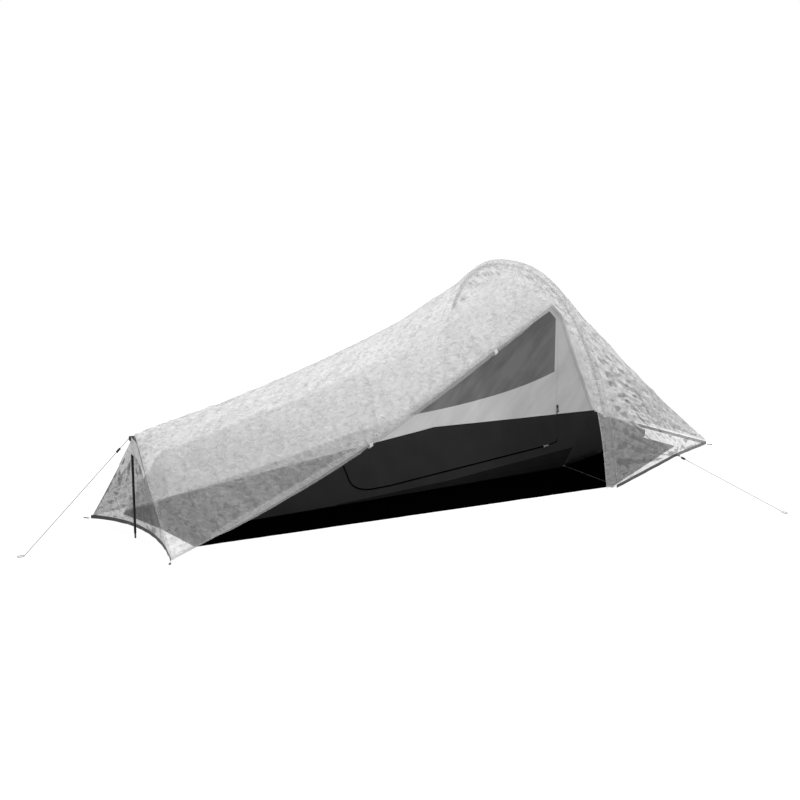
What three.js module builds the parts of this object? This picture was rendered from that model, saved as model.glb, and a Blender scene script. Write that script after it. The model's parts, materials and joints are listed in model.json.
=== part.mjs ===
// One-person single-hoop bivy tent with a short foot strut, pitched with its side door open.
// Millimetres, +Z up. X runs along the sleeper, the foot end at -X and the head end at +X.
// -Y is the door side. The origin lies on the ground at the middle of the pitched tent.

import * as THREE from 'three';

// ---- Driving dimensions ----------------------------------------------------------------

const FLY_LENGTH = 2730;
const HOOP_FROM_FOOT = Math.round(0.696 * FLY_LENGTH);
const HOOP_WIDTH = 1120;
const HOOP_HEIGHT = 878;
const HOOP_LEAN = 104;
const HOOP_ROUNDNESS = 0.86;
const FOOT_WIDTH = 640;
const FOOT_HEIGHT = 387;
const FOOT_LEAN = 40;
const FOOT_ROUNDNESS = 1.6;
const FOOT_PINCH = 0.45;
const FOOT_PINCH_FADE = 14;
const HEAD_WIDTH = 560;
const RIDGE_SWEEP = 0.35;
const RIDGE_POWER = 3.5;

const FLY_THICKNESS = 2;
const SEAM_GAP = 0.4;
const SLEEVE_SHARE = 0.972;
const HEM_WIDTH = 12;
const SIDE_HEM_LIFT = 12;
const SEAM_HEIGHT = HOOP_HEIGHT - 238;
const PULL_OUT_FROM_HOOP = Math.round(0.41 * (FLY_LENGTH - HOOP_FROM_FOOT));
const PULL_OUT_HEIGHT = 80;

const POLE_DIAMETER = 8.6;
const POLE_BORE = 6.4;
const POLE_SECTIONS = 5;
const FERRULE_LENGTH = 60;
const FERRULE_WALL = 0.9;
const SHOCK_CORD_DIAMETER = 3;
const SLEEVE_BORE = 15;
const SLEEVE_WALL = 1;
const SLEEVE_START = 300;
const POLE_DEPTH = 18;
const POLE_SETBACK = 8;
const STRUT_DIAMETER = 9;
const STRUT_SETBACK = 14;
const STRUT_TIP_STEP = 1.2;

const GROUNDSHEET_THICKNESS = 2;
const FLOOR_THICKNESS = 2;
const WALL_THICKNESS = 1.5;
const CLEARANCE = 0.4;

const INNER_FOOT_SETBACK = 156;
const SHOULDER_PAST_HOOP = 30;
const SHOULDER_NEAR = HOOP_WIDTH / 2 - 360;
const SHOULDER_FAR = HOOP_WIDTH / 2 - 110;
const INNER_FOOT_FAR = FOOT_WIDTH / 2 - 30;
const INNER_HEAD_SETBACK = 130;
const INNER_HEAD_NEAR = 25;
const INNER_HEAD_FAR = HEAD_WIDTH / 2 - 30;
const INNER_FOOT_HEIGHT = FOOT_HEIGHT - 87;
const INNER_CREST_HEIGHT = HOOP_HEIGHT - 78;
const WALL_YAW = THREE.MathUtils.degToRad(4.85);
const WALL_LEAN = THREE.MathUtils.degToRad(14.6);

const ZIP_WIDTH = 4;
const ZIP_THICKNESS = 2.4;
const SLIDER_LENGTH = 14;
const SLIDER_WIDTH = 8;

const GUY_DIAMETER = 2.5;
const SHOULDER_CORD_DIAMETER = 2;
const RUNNER_LENGTH = 20;

// ---- Small helpers ---------------------------------------------------------------------

const FOOT_X = -FLY_LENGTH / 2;
const HEAD_X = FLY_LENGTH / 2;
const HOOP_X = FOOT_X + HOOP_FROM_FOOT;
const { lerp } = THREE.MathUtils;
const vec = (x, y, z) => new THREE.Vector3(x, y, z);
const flat = (a, b) => new THREE.Vector2(a, b);

const tent = new THREE.Group();

const finishes = {
  fly: { color: 0xdadada, roughness: 0.55, metalness: 0, transparent: true, opacity: 0.6 },
  binding: { color: 0x4a4a4a, roughness: 0.8, metalness: 0 },
  innerLight: { color: 0xa8a8a8, roughness: 0.8, metalness: 0 },
  innerDark: { color: 0x2b2b2b, roughness: 0.75, metalness: 0 },
  floor: { color: 0x0d0d0d, roughness: 0.6, metalness: 0 },
  mesh: { color: 0x454545, roughness: 0.9, metalness: 0 },
  alloy: { color: 0x8c8f94, roughness: 0.3, metalness: 1 },
  darkAlloy: { color: 0x2f3134, roughness: 0.35, metalness: 1 },
  plastic: { color: 0x1a1a1a, roughness: 0.5, metalness: 0 },
  cord: { color: 0xd0d0d0, roughness: 0.8, metalness: 0 },
  elastic: { color: 0x222222, roughness: 0.9, metalness: 0 },
};

const materials = {};
for (const [name, values] of Object.entries(finishes)) {
  materials[name] = new THREE.MeshStandardMaterial({ name, ...values });
}

function add(name, geometry, finish, parent = tent) {
  const piece = new THREE.Mesh(geometry, materials[finish]);
  piece.name = name;
  parent.add(piece);
  return piece;
}

function signedVolume(geometry) {
  const place = geometry.attributes.position;
  const index = geometry.index;
  const corner = [vec(0, 0, 0), vec(0, 0, 0), vec(0, 0, 0)];
  let volume = 0;
  for (let i = 0; i < index.count; i += 3) {
    corner.forEach((point, k) => point.fromBufferAttribute(place, index.getX(i + k)));
    volume += corner[0].dot(corner[1].clone().cross(corner[2])) / 6;
  }
  return volume;
}

// A thin sheet bent over a surface: place(u, v, d) gives a point, with u and v from 0 to 1 across
// the sheet, and d either 0 on the outer face or 1 on the inner face. Both faces are split along
// the same diagonals, so that a twisted cell keeps its thickness.
function bentSheet(uSteps, vSteps, place) {
  const points = [];
  for (const layer of [0, 1]) {
    for (let i = 0; i <= uSteps; i += 1) {
      for (let j = 0; j <= vSteps; j += 1) {
        points.push(...place(i / uSteps, j / vSteps, layer).toArray());
      }
    }
  }
  const perLayer = (uSteps + 1) * (vSteps + 1);
  const at = (i, j, layer) => layer * perLayer + i * (vSteps + 1) + j;
  const faces = [];
  const quad = (a, b, c, d) => faces.push(a, b, c, a, c, d);
  for (let i = 0; i < uSteps; i += 1) {
    for (let j = 0; j < vSteps; j += 1) {
      quad(at(i, j, 0), at(i + 1, j, 0), at(i + 1, j + 1, 0), at(i, j + 1, 0));
      faces.push(at(i, j, 1), at(i + 1, j + 1, 1), at(i + 1, j, 1));
      faces.push(at(i, j, 1), at(i, j + 1, 1), at(i + 1, j + 1, 1));
    }
    quad(at(i, 0, 1), at(i + 1, 0, 1), at(i + 1, 0, 0), at(i, 0, 0));
    quad(at(i, vSteps, 0), at(i + 1, vSteps, 0), at(i + 1, vSteps, 1), at(i, vSteps, 1));
  }
  for (let j = 0; j < vSteps; j += 1) {
    quad(at(0, j, 0), at(0, j + 1, 0), at(0, j + 1, 1), at(0, j, 1));
    quad(at(uSteps, j, 1), at(uSteps, j + 1, 1), at(uSteps, j + 1, 0), at(uSteps, j, 0));
  }
  const sheet = new THREE.BufferGeometry();
  sheet.setAttribute('position', new THREE.Float32BufferAttribute(points, 3));
  sheet.setIndex(faces);
  if (signedVolume(sheet) < 0) {
    sheet.setIndex(faces.reverse());
  }
  sheet.computeVertexNormals();
  return sheet;
}

function ring(radius, sides) {
  const corners = [];
  for (let k = 0; k < sides; k += 1) {
    const turn = (2 * Math.PI * k) / sides;
    corners.push(flat(radius * Math.cos(turn), radius * Math.sin(turn)));
  }
  return corners;
}

// A rod or tube that follows a curve. A bore of 0 makes it solid.
function tube(curve, diameter, bore, sides, steps) {
  const section = new THREE.Shape(ring(diameter / 2, sides));
  if (bore > 0) {
    section.holes.push(new THREE.Path(ring(bore / 2, sides)));
  }
  return new THREE.ExtrudeGeometry(section, { steps, extrudePath: curve, bevelEnabled: false });
}

function slab(outline, thickness, hole = null) {
  const shape = new THREE.Shape(outline);
  if (hole) {
    shape.holes.push(new THREE.Path(hole));
  }
  return new THREE.ExtrudeGeometry(shape, { depth: thickness, bevelEnabled: false });
}

// Moves an open outline sideways by a distance, to its left when the distance is positive.
function offsetLine(points, distance) {
  return points.map((point, i) => {
    const before = points[Math.max(i - 1, 0)];
    const after = points[Math.min(i + 1, points.length - 1)];
    const first = flat(point.x - before.x, point.y - before.y);
    const second = flat(after.x - point.x, after.y - point.y);
    const along = (i === 0 ? second : first).clone().normalize();
    const next = (i === points.length - 1 ? first : second).clone().normalize();
    const across = flat(-along.y - next.y, along.x + next.x).normalize();
    const reach = distance / Math.max(0.12, across.dot(flat(-along.y, along.x)));
    return flat(point.x + across.x * reach, point.y + across.y * reach);
  });
}

function offsetLoop(points, distance) {
  const closed = [points[points.length - 1], ...points, points[0]];
  return offsetLine(closed, distance).slice(1, -1);
}

// Where the line through a and b meets the line through c and d.
function crossing(a, b, c, d) {
  const first = flat(b.x - a.x, b.y - a.y);
  const second = flat(d.x - c.x, d.y - c.y);
  const share = ((c.x - a.x) * second.y - (c.y - a.y) * second.x) / first.cross(second);
  return flat(a.x + first.x * share, a.y + first.y * share);
}

// ---- The shape of the fly --------------------------------------------------------------

const signedPower = (value, power) => Math.sign(value) * Math.abs(value) ** power;
const ridgeRise = (u) => (1 - RIDGE_SWEEP) * u + RIDGE_SWEEP * u ** RIDGE_POWER;
const ridgeHeight = (u) => lerp(FOOT_HEIGHT, HOOP_HEIGHT, ridgeRise(u));
const pinch = (u) => FOOT_PINCH * Math.exp(-FOOT_PINCH_FADE * u);
const roundness = (u) => lerp(FOOT_ROUNDNESS, HOOP_ROUNDNESS, Math.sqrt(u)) + pinch(u);

// A point of the fly's cross-section: u runs from the foot (0) to the hoop (1), the angle from
// the near ground (0) over the ridge (pi / 2) to the far ground (pi). The depth is measured inwards.
function flyPoint(u, angle, depth) {
  const halfWidth = lerp(FOOT_WIDTH, HOOP_WIDTH, u) / 2 - depth;
  const height = ridgeHeight(u) - depth;
  const y = -halfWidth * signedPower(Math.cos(angle), roundness(u));
  const z = height * Math.abs(Math.sin(angle)) ** roundness(u);
  const lean = lerp(FOOT_LEAN, -HOOP_LEAN, u);
  return vec(lerp(FOOT_X, HOOP_X, u) + (lean * z) / height, y, z);
}

function angleAtHeight(u, z) {
  return Math.asin(Math.min(1, z / ridgeHeight(u)) ** (1 / roundness(u)));
}

// The door's free edge climbs from the near foot corner to the hoop.
const DOOR_EDGE_RISE = 0.67;
const DOOR_EDGE_SWEEP = 0.2;
const doorEdgeHeight = (u) => HEM_WIDTH / 3 + HOOP_HEIGHT * (DOOR_EDGE_RISE * u + DOOR_EDGE_SWEEP * u * u);
const doorEdgeAngle = (u) => angleAtHeight(u, doorEdgeHeight(u));
const farHemAngle = (u) => Math.PI - angleAtHeight(u, SIDE_HEM_LIFT);

function buildFlyBody() {
  const uFirst = (FLY_THICKNESS + SEAM_GAP) / HOOP_FROM_FOOT;
  const ridge = Math.PI / 2;
  const near = (a, b, d) => {
    const u = lerp(uFirst, SLEEVE_SHARE, a);
    const point = flyPoint(u, lerp(doorEdgeAngle(u), ridge, b), d * FLY_THICKNESS);
    point.y = Math.min(point.y, -SEAM_GAP / 2);
    return point;
  };
  const far = (a, b, d) => {
    const u = lerp(uFirst, SLEEVE_SHARE, a);
    const point = flyPoint(u, lerp(ridge, farHemAngle(u), b), d * FLY_THICKNESS);
    point.y = Math.max(point.y, SEAM_GAP / 2);
    return point;
  };
  add('fly_side_near', bentSheet(20, 6, near), 'fly');
  add('fly_side_far', bentSheet(20, 8, far), 'fly');
}

function buildSleeveBand() {
  const uFirst = SLEEVE_SHARE + SEAM_GAP / HOOP_FROM_FOOT;
  const start = angleAtHeight(1, HEM_WIDTH);
  const band = (a, b, d) => {
    const u = lerp(uFirst, 1, a);
    return flyPoint(u, lerp(start, Math.PI - start, b), d * FLY_THICKNESS);
  };
  add('fly_hoop_band', bentSheet(2, 36, band), 'fly');
}

// The foot end is closed by a panel whose hem curves inwards and lifts in the middle.
const FOOT_HEM_INSET = 60;
const FOOT_HEM_LIFT = 20;
const HEM_REACH = 0.94;
const footHem = (across) => {
  const bow = 1 - across * across;
  return vec(FOOT_X + FOOT_HEM_INSET * bow, (across * FOOT_WIDTH) / 2, FOOT_HEM_LIFT * bow);
};

function buildFootEnd() {
  const reach = 0.95;
  const panel = (a, b, d) => {
    const across = lerp(-reach, reach, a);
    const angle = Math.acos(Math.abs(across) ** (1 / roundness(0)));
    const top = flyPoint(0, angle, 0);
    top.z -= SEAM_GAP;
    const hem = footHem(across);
    hem.z += HEM_WIDTH + SEAM_GAP;
    const point = vec(lerp(hem.x, top.x, b), hem.y, lerp(hem.z, top.z, b));
    point.x += d * FLY_THICKNESS * 0.8;
    return point;
  };
  add('fly_foot_panel', bentSheet(16, 6, panel), 'fly');
  const binding = (a, b, d) => {
    const point = footHem(lerp(-HEM_REACH, HEM_REACH, a));
    point.z += b * HEM_WIDTH + SEAM_GAP / 2;
    point.x += (d - 0.5) * 2 * FLY_THICKNESS;
    return point;
  };
  add('fly_foot_hem', bentSheet(14, 1, binding), 'binding');
}

// ---- The head end of the fly -----------------------------------------------------------

const seamAngle = angleAtHeight(1, SEAM_HEIGHT);
const HEAD_START = 2 * SEAM_GAP;
const PULL_OUT_SHARE = 0.5;

// The head hem, from the near hoop foot (0) over the pull-out to the near head corner (1).
function headHem(u, depth) {
  const foot = vec(HOOP_X + HEAD_START, -HOOP_WIDTH / 2 + depth, 0);
  const pullOut = vec(HOOP_X + PULL_OUT_FROM_HOOP, -HOOP_WIDTH / 2 + depth, PULL_OUT_HEIGHT);
  const corner = vec(HEAD_X - depth, -HEAD_WIDTH / 2 + depth, 0);
  if (u < PULL_OUT_SHARE) {
    return foot.lerp(pullOut, u / PULL_OUT_SHARE);
  }
  return pullOut.lerp(corner, (u - PULL_OUT_SHARE) / (1 - PULL_OUT_SHARE));
}

const HEAD_EDGE_HEIGHT = HEM_WIDTH + 8;

function headSeam(u, depth) {
  const top = flyPoint(1, seamAngle, depth);
  top.x += HEAD_START;
  return top.lerp(vec(HEAD_X - depth, -HEAD_WIDTH / 2 + depth, HEAD_EDGE_HEIGHT), u);
}

function headSide(side) {
  const low = angleAtHeight(1, HEM_WIDTH + SEAM_GAP);
  return (a, b, d) => {
    const depth = d * FLY_THICKNESS;
    const hem = headHem(a, depth);
    hem.z += HEM_WIDTH + SEAM_GAP;
    const seam = headSeam(a, depth);
    const point = hem.clone().lerp(seam, b);
    const hoop = flyPoint(1, lerp(low, seamAngle, b), depth);
    const chord = flyPoint(1, low, depth).lerp(flyPoint(1, seamAngle, depth), b);
    point.add(hoop.sub(chord).multiplyScalar((1 - a) ** 1.5));
    point.z -= SEAM_GAP * b;
    point.y *= -side;
    return point;
  };
}

function buildHead() {
  add('fly_head_near', bentSheet(12, 6, headSide(-1)), 'fly');
  add('fly_head_far', bentSheet(12, 6, headSide(1)), 'fly');
  const roof = (a, b, d) => {
    const depth = d * FLY_THICKNESS;
    const start = flyPoint(1, lerp(seamAngle, Math.PI - seamAngle, b), depth);
    start.x += HEAD_START;
    start.z += SEAM_GAP;
    const halfWidth = HEAD_WIDTH / 2 - depth;
    const end = vec(HEAD_X - depth, lerp(-halfWidth, halfWidth, b), HEAD_EDGE_HEIGHT + SEAM_GAP);
    return start.lerp(end, a);
  };
  add('fly_head_roof', bentSheet(12, 12, roof), 'fly');
  const sideSteps = 8;
  const endSteps = 4;
  const allSteps = 2 * sideSteps + endSteps;
  const hem = (a, b, d) => {
    const side = a < 0.5 ? 1 : -1;
    const steps = Math.min(a, 1 - a) * allSteps;
    const headShare = Math.max(0, ((steps - sideSteps) * 2) / endSteps);
    const depth = (d - 0.5) * 1.6 * FLY_THICKNESS;
    const point = headHem(Math.min(1, steps / sideSteps), depth);
    point.y = side * lerp(point.y, 0, headShare);
    const tall = headShare > 0 ? HEAD_EDGE_HEIGHT - SEAM_GAP : HEM_WIDTH;
    point.z += b * tall + SEAM_GAP / 2;
    return point;
  };
  add('fly_head_hem', bentSheet(allSteps, 1, hem), 'binding');
}

// ---- Pole, sleeve and strut ------------------------------------------------------------

class HoopCurve extends THREE.Curve {
  constructor(from, to, depth) {
    super();
    this.from = from;
    this.to = to;
    this.depth = depth;
  }

  getPoint(share, target = vec(0, 0, 0)) {
    target.copy(flyPoint(1, lerp(this.from, this.to, share), this.depth));
    target.x -= POLE_SETBACK;
    return target;
  }
}

const hoopStart = angleAtHeight(1, 30);
const hoopSpan = Math.PI - 2 * hoopStart;

function buildHoop() {
  const sectionGap = 0.001;
  for (let k = 0; k < POLE_SECTIONS; k += 1) {
    const from = hoopStart + (hoopSpan * k) / POLE_SECTIONS + sectionGap;
    const to = hoopStart + (hoopSpan * (k + 1)) / POLE_SECTIONS - sectionGap;
    const path = new HoopCurve(from, to, POLE_DEPTH);
    add(`hoop_pole_${k + 1}`, tube(path, POLE_DIAMETER, POLE_BORE, 8, 16), 'alloy');
  }
  const arc = new HoopCurve(hoopStart, hoopStart + hoopSpan, POLE_DEPTH).getLength();
  const halfTurn = (FERRULE_LENGTH / arc) * (hoopSpan / 2);
  const ferruleBore = POLE_DIAMETER + 2.4 * CLEARANCE;
  for (let k = 1; k < POLE_SECTIONS; k += 1) {
    const middle = hoopStart + (hoopSpan * k) / POLE_SECTIONS;
    const path = new HoopCurve(middle - halfTurn, middle + halfTurn, POLE_DEPTH);
    const outer = ferruleBore + 2 * FERRULE_WALL;
    add(`hoop_ferrule_${k}`, tube(path, outer, ferruleBore, 8, 3), 'darkAlloy');
  }
  const elastic = new HoopCurve(hoopStart + 0.002, hoopStart + hoopSpan - 0.002, POLE_DEPTH);
  add('hoop_shock_cord', tube(elastic, SHOCK_CORD_DIAMETER, 0, 4, 64), 'elastic');
  const sleeveStart = angleAtHeight(1, SLEEVE_START);
  const cover = new HoopCurve(sleeveStart, Math.PI - sleeveStart, POLE_DEPTH);
  const outer = SLEEVE_BORE + 2 * SLEEVE_WALL;
  add('hoop_sleeve', tube(cover, outer, SLEEVE_BORE, 8, 36), 'fly');
  const profile = [flat(0, 0), flat(7, 0), flat(7, 16), flat(4.3, 26), flat(0, 26)];
  for (const [name, side] of [['near', -1], ['far', 1]]) {
    const foot = flyPoint(1, hoopStart, POLE_DEPTH);
    const tip = add(`hoop_tip_${name}`, new THREE.LatheGeometry(profile, 10), 'plastic');
    tip.rotation.x = Math.PI / 2;
    tip.position.set(foot.x - POLE_SETBACK, Math.abs(foot.y) * side, GROUNDSHEET_THICKNESS + CLEARANCE);
  }
}

const STRUT_X = FOOT_X + FOOT_LEAN - STRUT_SETBACK;
const STRUT_TOP = FOOT_HEIGHT - 24;

function upright(radius, height, sides) {
  const rod = new THREE.CylinderGeometry(radius, radius, height, sides);
  rod.rotateX(Math.PI / 2);
  rod.translate(0, 0, height / 2);
  return rod;
}

function buildStrut() {
  const tipHeight = 18;
  const strut = new THREE.Group();
  strut.position.set(STRUT_X, 0, 0);
  tent.add(strut);
  const sides = 12;
  const rod = upright(STRUT_DIAMETER / 2, STRUT_TOP - tipHeight - CLEARANCE, sides);
  rod.translate(0, 0, tipHeight + CLEARANCE);
  add('foot_strut', rod, 'darkAlloy', strut);
  const tip = upright(STRUT_DIAMETER / 2 - STRUT_TIP_STEP, tipHeight, sides);
  add('foot_strut_tip', tip, 'plastic', strut);
}

// ---- Ground parts ----------------------------------------------------------------------

const GROUND_INSET = 28;

function buildGroundsheet() {
  const near = [
    flat(FOOT_X + 150, -FOOT_WIDTH / 2 + 100),
    flat(HOOP_X + 9, -HOOP_WIDTH / 2 + GROUND_INSET),
    flat(HOOP_X + 85, -HOOP_WIDTH / 2 + GROUND_INSET + 37),
    flat(HEAD_X - 140, -HEAD_WIDTH / 2 + 60),
  ];
  const far = near.map((point) => flat(point.x, -point.y)).reverse();
  add('groundsheet', slab([...near, ...far], GROUNDSHEET_THICKNESS), 'floor');
}

// ---- The inner tent --------------------------------------------------------------------

const SHOULDER_X = HOOP_X + SHOULDER_PAST_HOOP;
const wallBase = vec(SHOULDER_X, -SHOULDER_NEAR, 0);
const wallAlong = vec(Math.cos(WALL_YAW), -Math.sin(WALL_YAW), 0);
const wallUp = vec(
  Math.sin(WALL_YAW) * Math.sin(WALL_LEAN),
  Math.cos(WALL_YAW) * Math.sin(WALL_LEAN),
  Math.cos(WALL_LEAN),
);
const wallOut = wallAlong.clone().cross(wallUp);

// A point of the flat near wall: a along it towards the head, b up it, c out of it.
function wallPoint(a, b, c = 0) {
  const point = wallBase.clone().addScaledVector(wallAlong, a);
  return point.addScaledVector(wallUp, b).addScaledVector(wallOut, c);
}

// The reverse, for a point given by its x and its height.
function onWall(x, z) {
  const b = z / wallUp.z;
  return flat((x - SHOULDER_X - b * wallUp.x) / wallAlong.x, b);
}

const wallGroup = new THREE.Group();
wallGroup.applyMatrix4(new THREE.Matrix4().makeBasis(wallAlong, wallUp, wallOut));
wallGroup.position.copy(wallBase);
tent.add(wallGroup);

const innerFootX = FOOT_X + INNER_FOOT_SETBACK;
const innerHeadX = HEAD_X - INNER_HEAD_SETBACK;
const crestX = HOOP_X - HOOP_LEAN;

function innerRidge(share) {
  const height = lerp(INNER_FOOT_HEIGHT, INNER_CREST_HEIGHT, ridgeRise(share));
  return onWall(lerp(innerFootX + 7, crestX, share), height);
}

// Places on the near wall, along it and up it from the shoulder. They are stated for a wall that
// runs 1774 to the foot end under a crest of 800, and stretch with it.
const alongScale = (SHOULDER_X - innerFootX) / 1774;
const upScale = INNER_CREST_HEIGHT / 800;
const spotOnWall = (a, b) => flat(a * alongScale, b * upScale);

const WALL_LOW = 6;
const footLow = onWall(innerFootX, WALL_LOW);
const foldTop = spotOnWall(201, 225);
const foldHigh = spotOnWall(100, 640);
const foldAt = (b) => flat((foldTop.x * b) / foldTop.y, b);
const darkFoot = flat(footLow.x, 139 * upScale);
const darkPeak = spotOnWall(-611, 252);
const hingeFoot = spotOnWall(-1058, 186);
const hingeHead = spotOnWall(45, 690);
const zipRise = spotOnWall(-1034, 104);
const zipBend = spotOnWall(-1024, 47);
const zipBendEnd = spotOnWall(-930, 46);
const zipLowStart = spotOnWall(-850, 48);
const zipLowEnd = spotOnWall(-64, 106);
const doorCorner = spotOnWall(-13, 116);
const doorTop = spotOnWall(82, 640);
const windowFoot = spotOnWall(-742, 312);
const windowBend = spotOnWall(-240, 330);
const windowCorner = spotOnWall(24, 412);
const windowTop = spotOnWall(68, 636);
const windowHead = spotOnWall(40, 670);
const stripTop = [spotOnWall(-1100, 8.5), spotOnWall(-569, 29), foldAt(82 * upScale)];
const CURVE_STEPS = 8;
const distinct = (point, i, all) => i === 0 || point.distanceTo(all[i - 1]) > 1;

// The zip's middle line, from the foot end of the hinge round the door to its head end.
function zipLine() {
  const path = new THREE.Path();
  path.moveTo(hingeFoot.x, hingeFoot.y);
  path.lineTo(zipRise.x, zipRise.y);
  path.quadraticCurveTo(zipBend.x, zipBend.y, zipBendEnd.x, zipBendEnd.y);
  path.lineTo(zipLowStart.x, zipLowStart.y);
  path.lineTo(zipLowEnd.x, zipLowEnd.y);
  path.lineTo(doorCorner.x, doorCorner.y);
  path.lineTo(doorTop.x, doorTop.y);
  path.lineTo(hingeHead.x, hingeHead.y);
  return path.getPoints(CURVE_STEPS).filter(distinct);
}

const zip = zipLine();
const doorEdge = offsetLine(zip, ZIP_WIDTH / 2 + SEAM_GAP);
const openingEdge = offsetLine(zip, -ZIP_WIDTH / 2 - SEAM_GAP);
const lift = (point, by) => flat(point.x, point.y + by);
const raise = 0.3;

function buildNearWall() {
  const count = openingEdge.length;
  const sideLow = openingEdge[count - 3];
  const sideTop = openingEdge[count - 2];
  const sideCut = crossing(sideLow, sideTop, lift(darkPeak, -raise), lift(foldTop, -raise));
  const hingeLow = lift(hingeFoot, 0.7);
  const hingeHigh = lift(hingeHead, 0.7);
  const hingeCut = crossing(hingeLow, hingeHigh, lift(darkFoot, -raise), lift(darkPeak, -raise));
  const strip = [flat(stripTop[0].x, WALL_LOW), foldAt(WALL_LOW), ...[...stripTop].reverse()];
  add('inner_floor_strip', slab(strip, WALL_THICKNESS), 'floor', wallGroup);
  const lower = [
    footLow,
    flat(stripTop[0].x - 1, WALL_LOW),
    ...stripTop.map((point) => lift(point, 0.6)),
    lift(foldTop, -raise),
    sideCut,
    ...openingEdge.slice(0, count - 2).reverse(),
    hingeLow,
    hingeCut,
    lift(darkFoot, -raise),
  ];
  add('inner_near_lower', slab(lower, WALL_THICKNESS), 'innerDark', wallGroup);
  const upperCut = crossing(hingeLow, hingeHigh, lift(darkFoot, raise), lift(darkPeak, raise));
  const ridge = [];
  const ridgeSteps = 16;
  for (let k = ridgeSteps; k >= 0; k -= 1) {
    ridge.push(innerRidge(k / ridgeSteps));
  }
  const upper = [lift(darkFoot, raise), upperCut, hingeHigh, lift(hingeHigh, 6), ...ridge];
  add('inner_near_upper', slab(upper, WALL_THICKNESS), 'innerLight', wallGroup);
  const sideStart = crossing(sideLow, sideTop, lift(darkPeak, raise), lift(foldTop, raise));
  const right = [
    sideStart,
    lift(foldTop, raise),
    foldHigh,
    lift(openingEdge[count - 1], 2),
    openingEdge[count - 1],
    sideTop,
  ];
  add('inner_near_right', slab(right, WALL_THICKNESS), 'innerLight', wallGroup);
}

const meshWindow = (() => {
  const path = new THREE.Path();
  path.moveTo(windowFoot.x, windowFoot.y);
  path.quadraticCurveTo(windowBend.x, windowBend.y, windowCorner.x, windowCorner.y);
  path.lineTo(windowTop.x, windowTop.y);
  path.lineTo(windowHead.x, windowHead.y);
  return path.getPoints(CURVE_STEPS).filter(distinct);
})();

// The door turns about the slanted line on the wall's outer face between the zip's two ends.
const door = new THREE.Group();
wallGroup.add(door);

function buildDoor() {
  const count = doorEdge.length;
  const edgeLow = doorEdge[count - 3];
  const edgeTop = doorEdge[count - 2];
  const first = doorEdge[0];
  const last = doorEdge[count - 1];
  const lowRight = crossing(edgeLow, edgeTop, lift(darkPeak, -raise), lift(foldTop, -raise));
  const lowLeft = crossing(first, last, lift(darkFoot, -raise), lift(darkPeak, -raise));
  const lower = [...doorEdge.slice(0, count - 2), lowRight, lift(darkPeak, -raise), lowLeft];
  add('inner_door_lower', slab(lower, WALL_THICKNESS), 'innerDark', door);
  const highRight = crossing(edgeLow, edgeTop, lift(darkPeak, raise), lift(foldTop, raise));
  const highLeft = crossing(first, last, lift(darkFoot, raise), lift(darkPeak, raise));
  const band = [highLeft, lift(darkPeak, raise), highRight, edgeTop, last];
  const hole = offsetLoop(meshWindow, -SEAM_GAP);
  add('inner_door_band', slab(band, WALL_THICKNESS, hole), 'innerLight', door);
  const net = slab(meshWindow, WALL_THICKNESS / 2);
  net.translate(0, 0, WALL_THICKNESS / 4);
  add('inner_door_mesh', net, 'mesh', door);
}

function buildZip() {
  const left = offsetLine(zip, ZIP_WIDTH / 2);
  const right = offsetLine(zip, -ZIP_WIDTH / 2).reverse();
  const tape = slab([...left, ...right], ZIP_THICKNESS);
  tape.translate(0, 0, -0.4);
  add('inner_door_zip', tape, 'plastic', wallGroup);
}

// A slider rides just outside the zip, its length along the zip and its pull hanging from it.
function buildSlider(name, from, to, share) {
  const along = flat(to.x - from.x, to.y - from.y).normalize();
  const spot = flat(lerp(from.x, to.x, share), lerp(from.y, to.y, share));
  const slider = new THREE.Group();
  slider.position.set(spot.x, spot.y, ZIP_THICKNESS + CLEARANCE);
  slider.rotation.z = Math.atan2(along.y, along.x);
  wallGroup.add(slider);
  const half = SLIDER_LENGTH / 2;
  const profile = [
    flat(-half, 0),
    flat(half, 0),
    flat(half, 3.4),
    flat(half - 3, 5.8),
    flat(-half - 16, 5.8),
    flat(-half - 16, 4.4),
    flat(1, 4.4),
    flat(1, 3.4),
    flat(-half, 3.4),
  ];
  const block = slab(profile, SLIDER_WIDTH);
  block.rotateX(Math.PI / 2);
  block.translate(0, -1, 0);
  add(name, block, 'plastic', slider);
}

// ---- Far, head and foot walls of the inner ---------------------------------------------

const floorTop = GROUNDSHEET_THICKNESS + CLEARANCE + FLOOR_THICKNESS;
const WALL_FOOT = floorTop + CLEARANCE;

function buildFloor() {
  const inset = 3;
  const shoulder = flat(SHOULDER_X, -SHOULDER_NEAR + inset);
  const footNear = wallPoint(footLow.x, 0);
  const outline = [
    flat(footNear.x + inset, footNear.y + inset),
    shoulder,
    flat(innerHeadX - inset, -INNER_HEAD_NEAR + inset),
    flat(innerHeadX - inset, INNER_HEAD_FAR - inset),
    flat(SHOULDER_X, SHOULDER_FAR - inset),
    flat(innerFootX - 34 + inset, INNER_FOOT_FAR - inset),
  ];
  const sheet = slab(outline, FLOOR_THICKNESS);
  sheet.translate(0, 0, GROUNDSHEET_THICKNESS + CLEARANCE);
  add('inner_floor', sheet, 'floor');
}

function worldRidge(share) {
  const spot = innerRidge(share);
  return wallPoint(spot.x, spot.y, -CLEARANCE);
}

const farFoot = vec(innerFootX - 34, INNER_FOOT_FAR, WALL_FOOT);
const farShoulder = vec(SHOULDER_X, SHOULDER_FAR, WALL_FOOT);
const FAR_DARK_SHARE = 0.26;
const FAR_FOOT_ROUNDNESS = 1.9;

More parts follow.
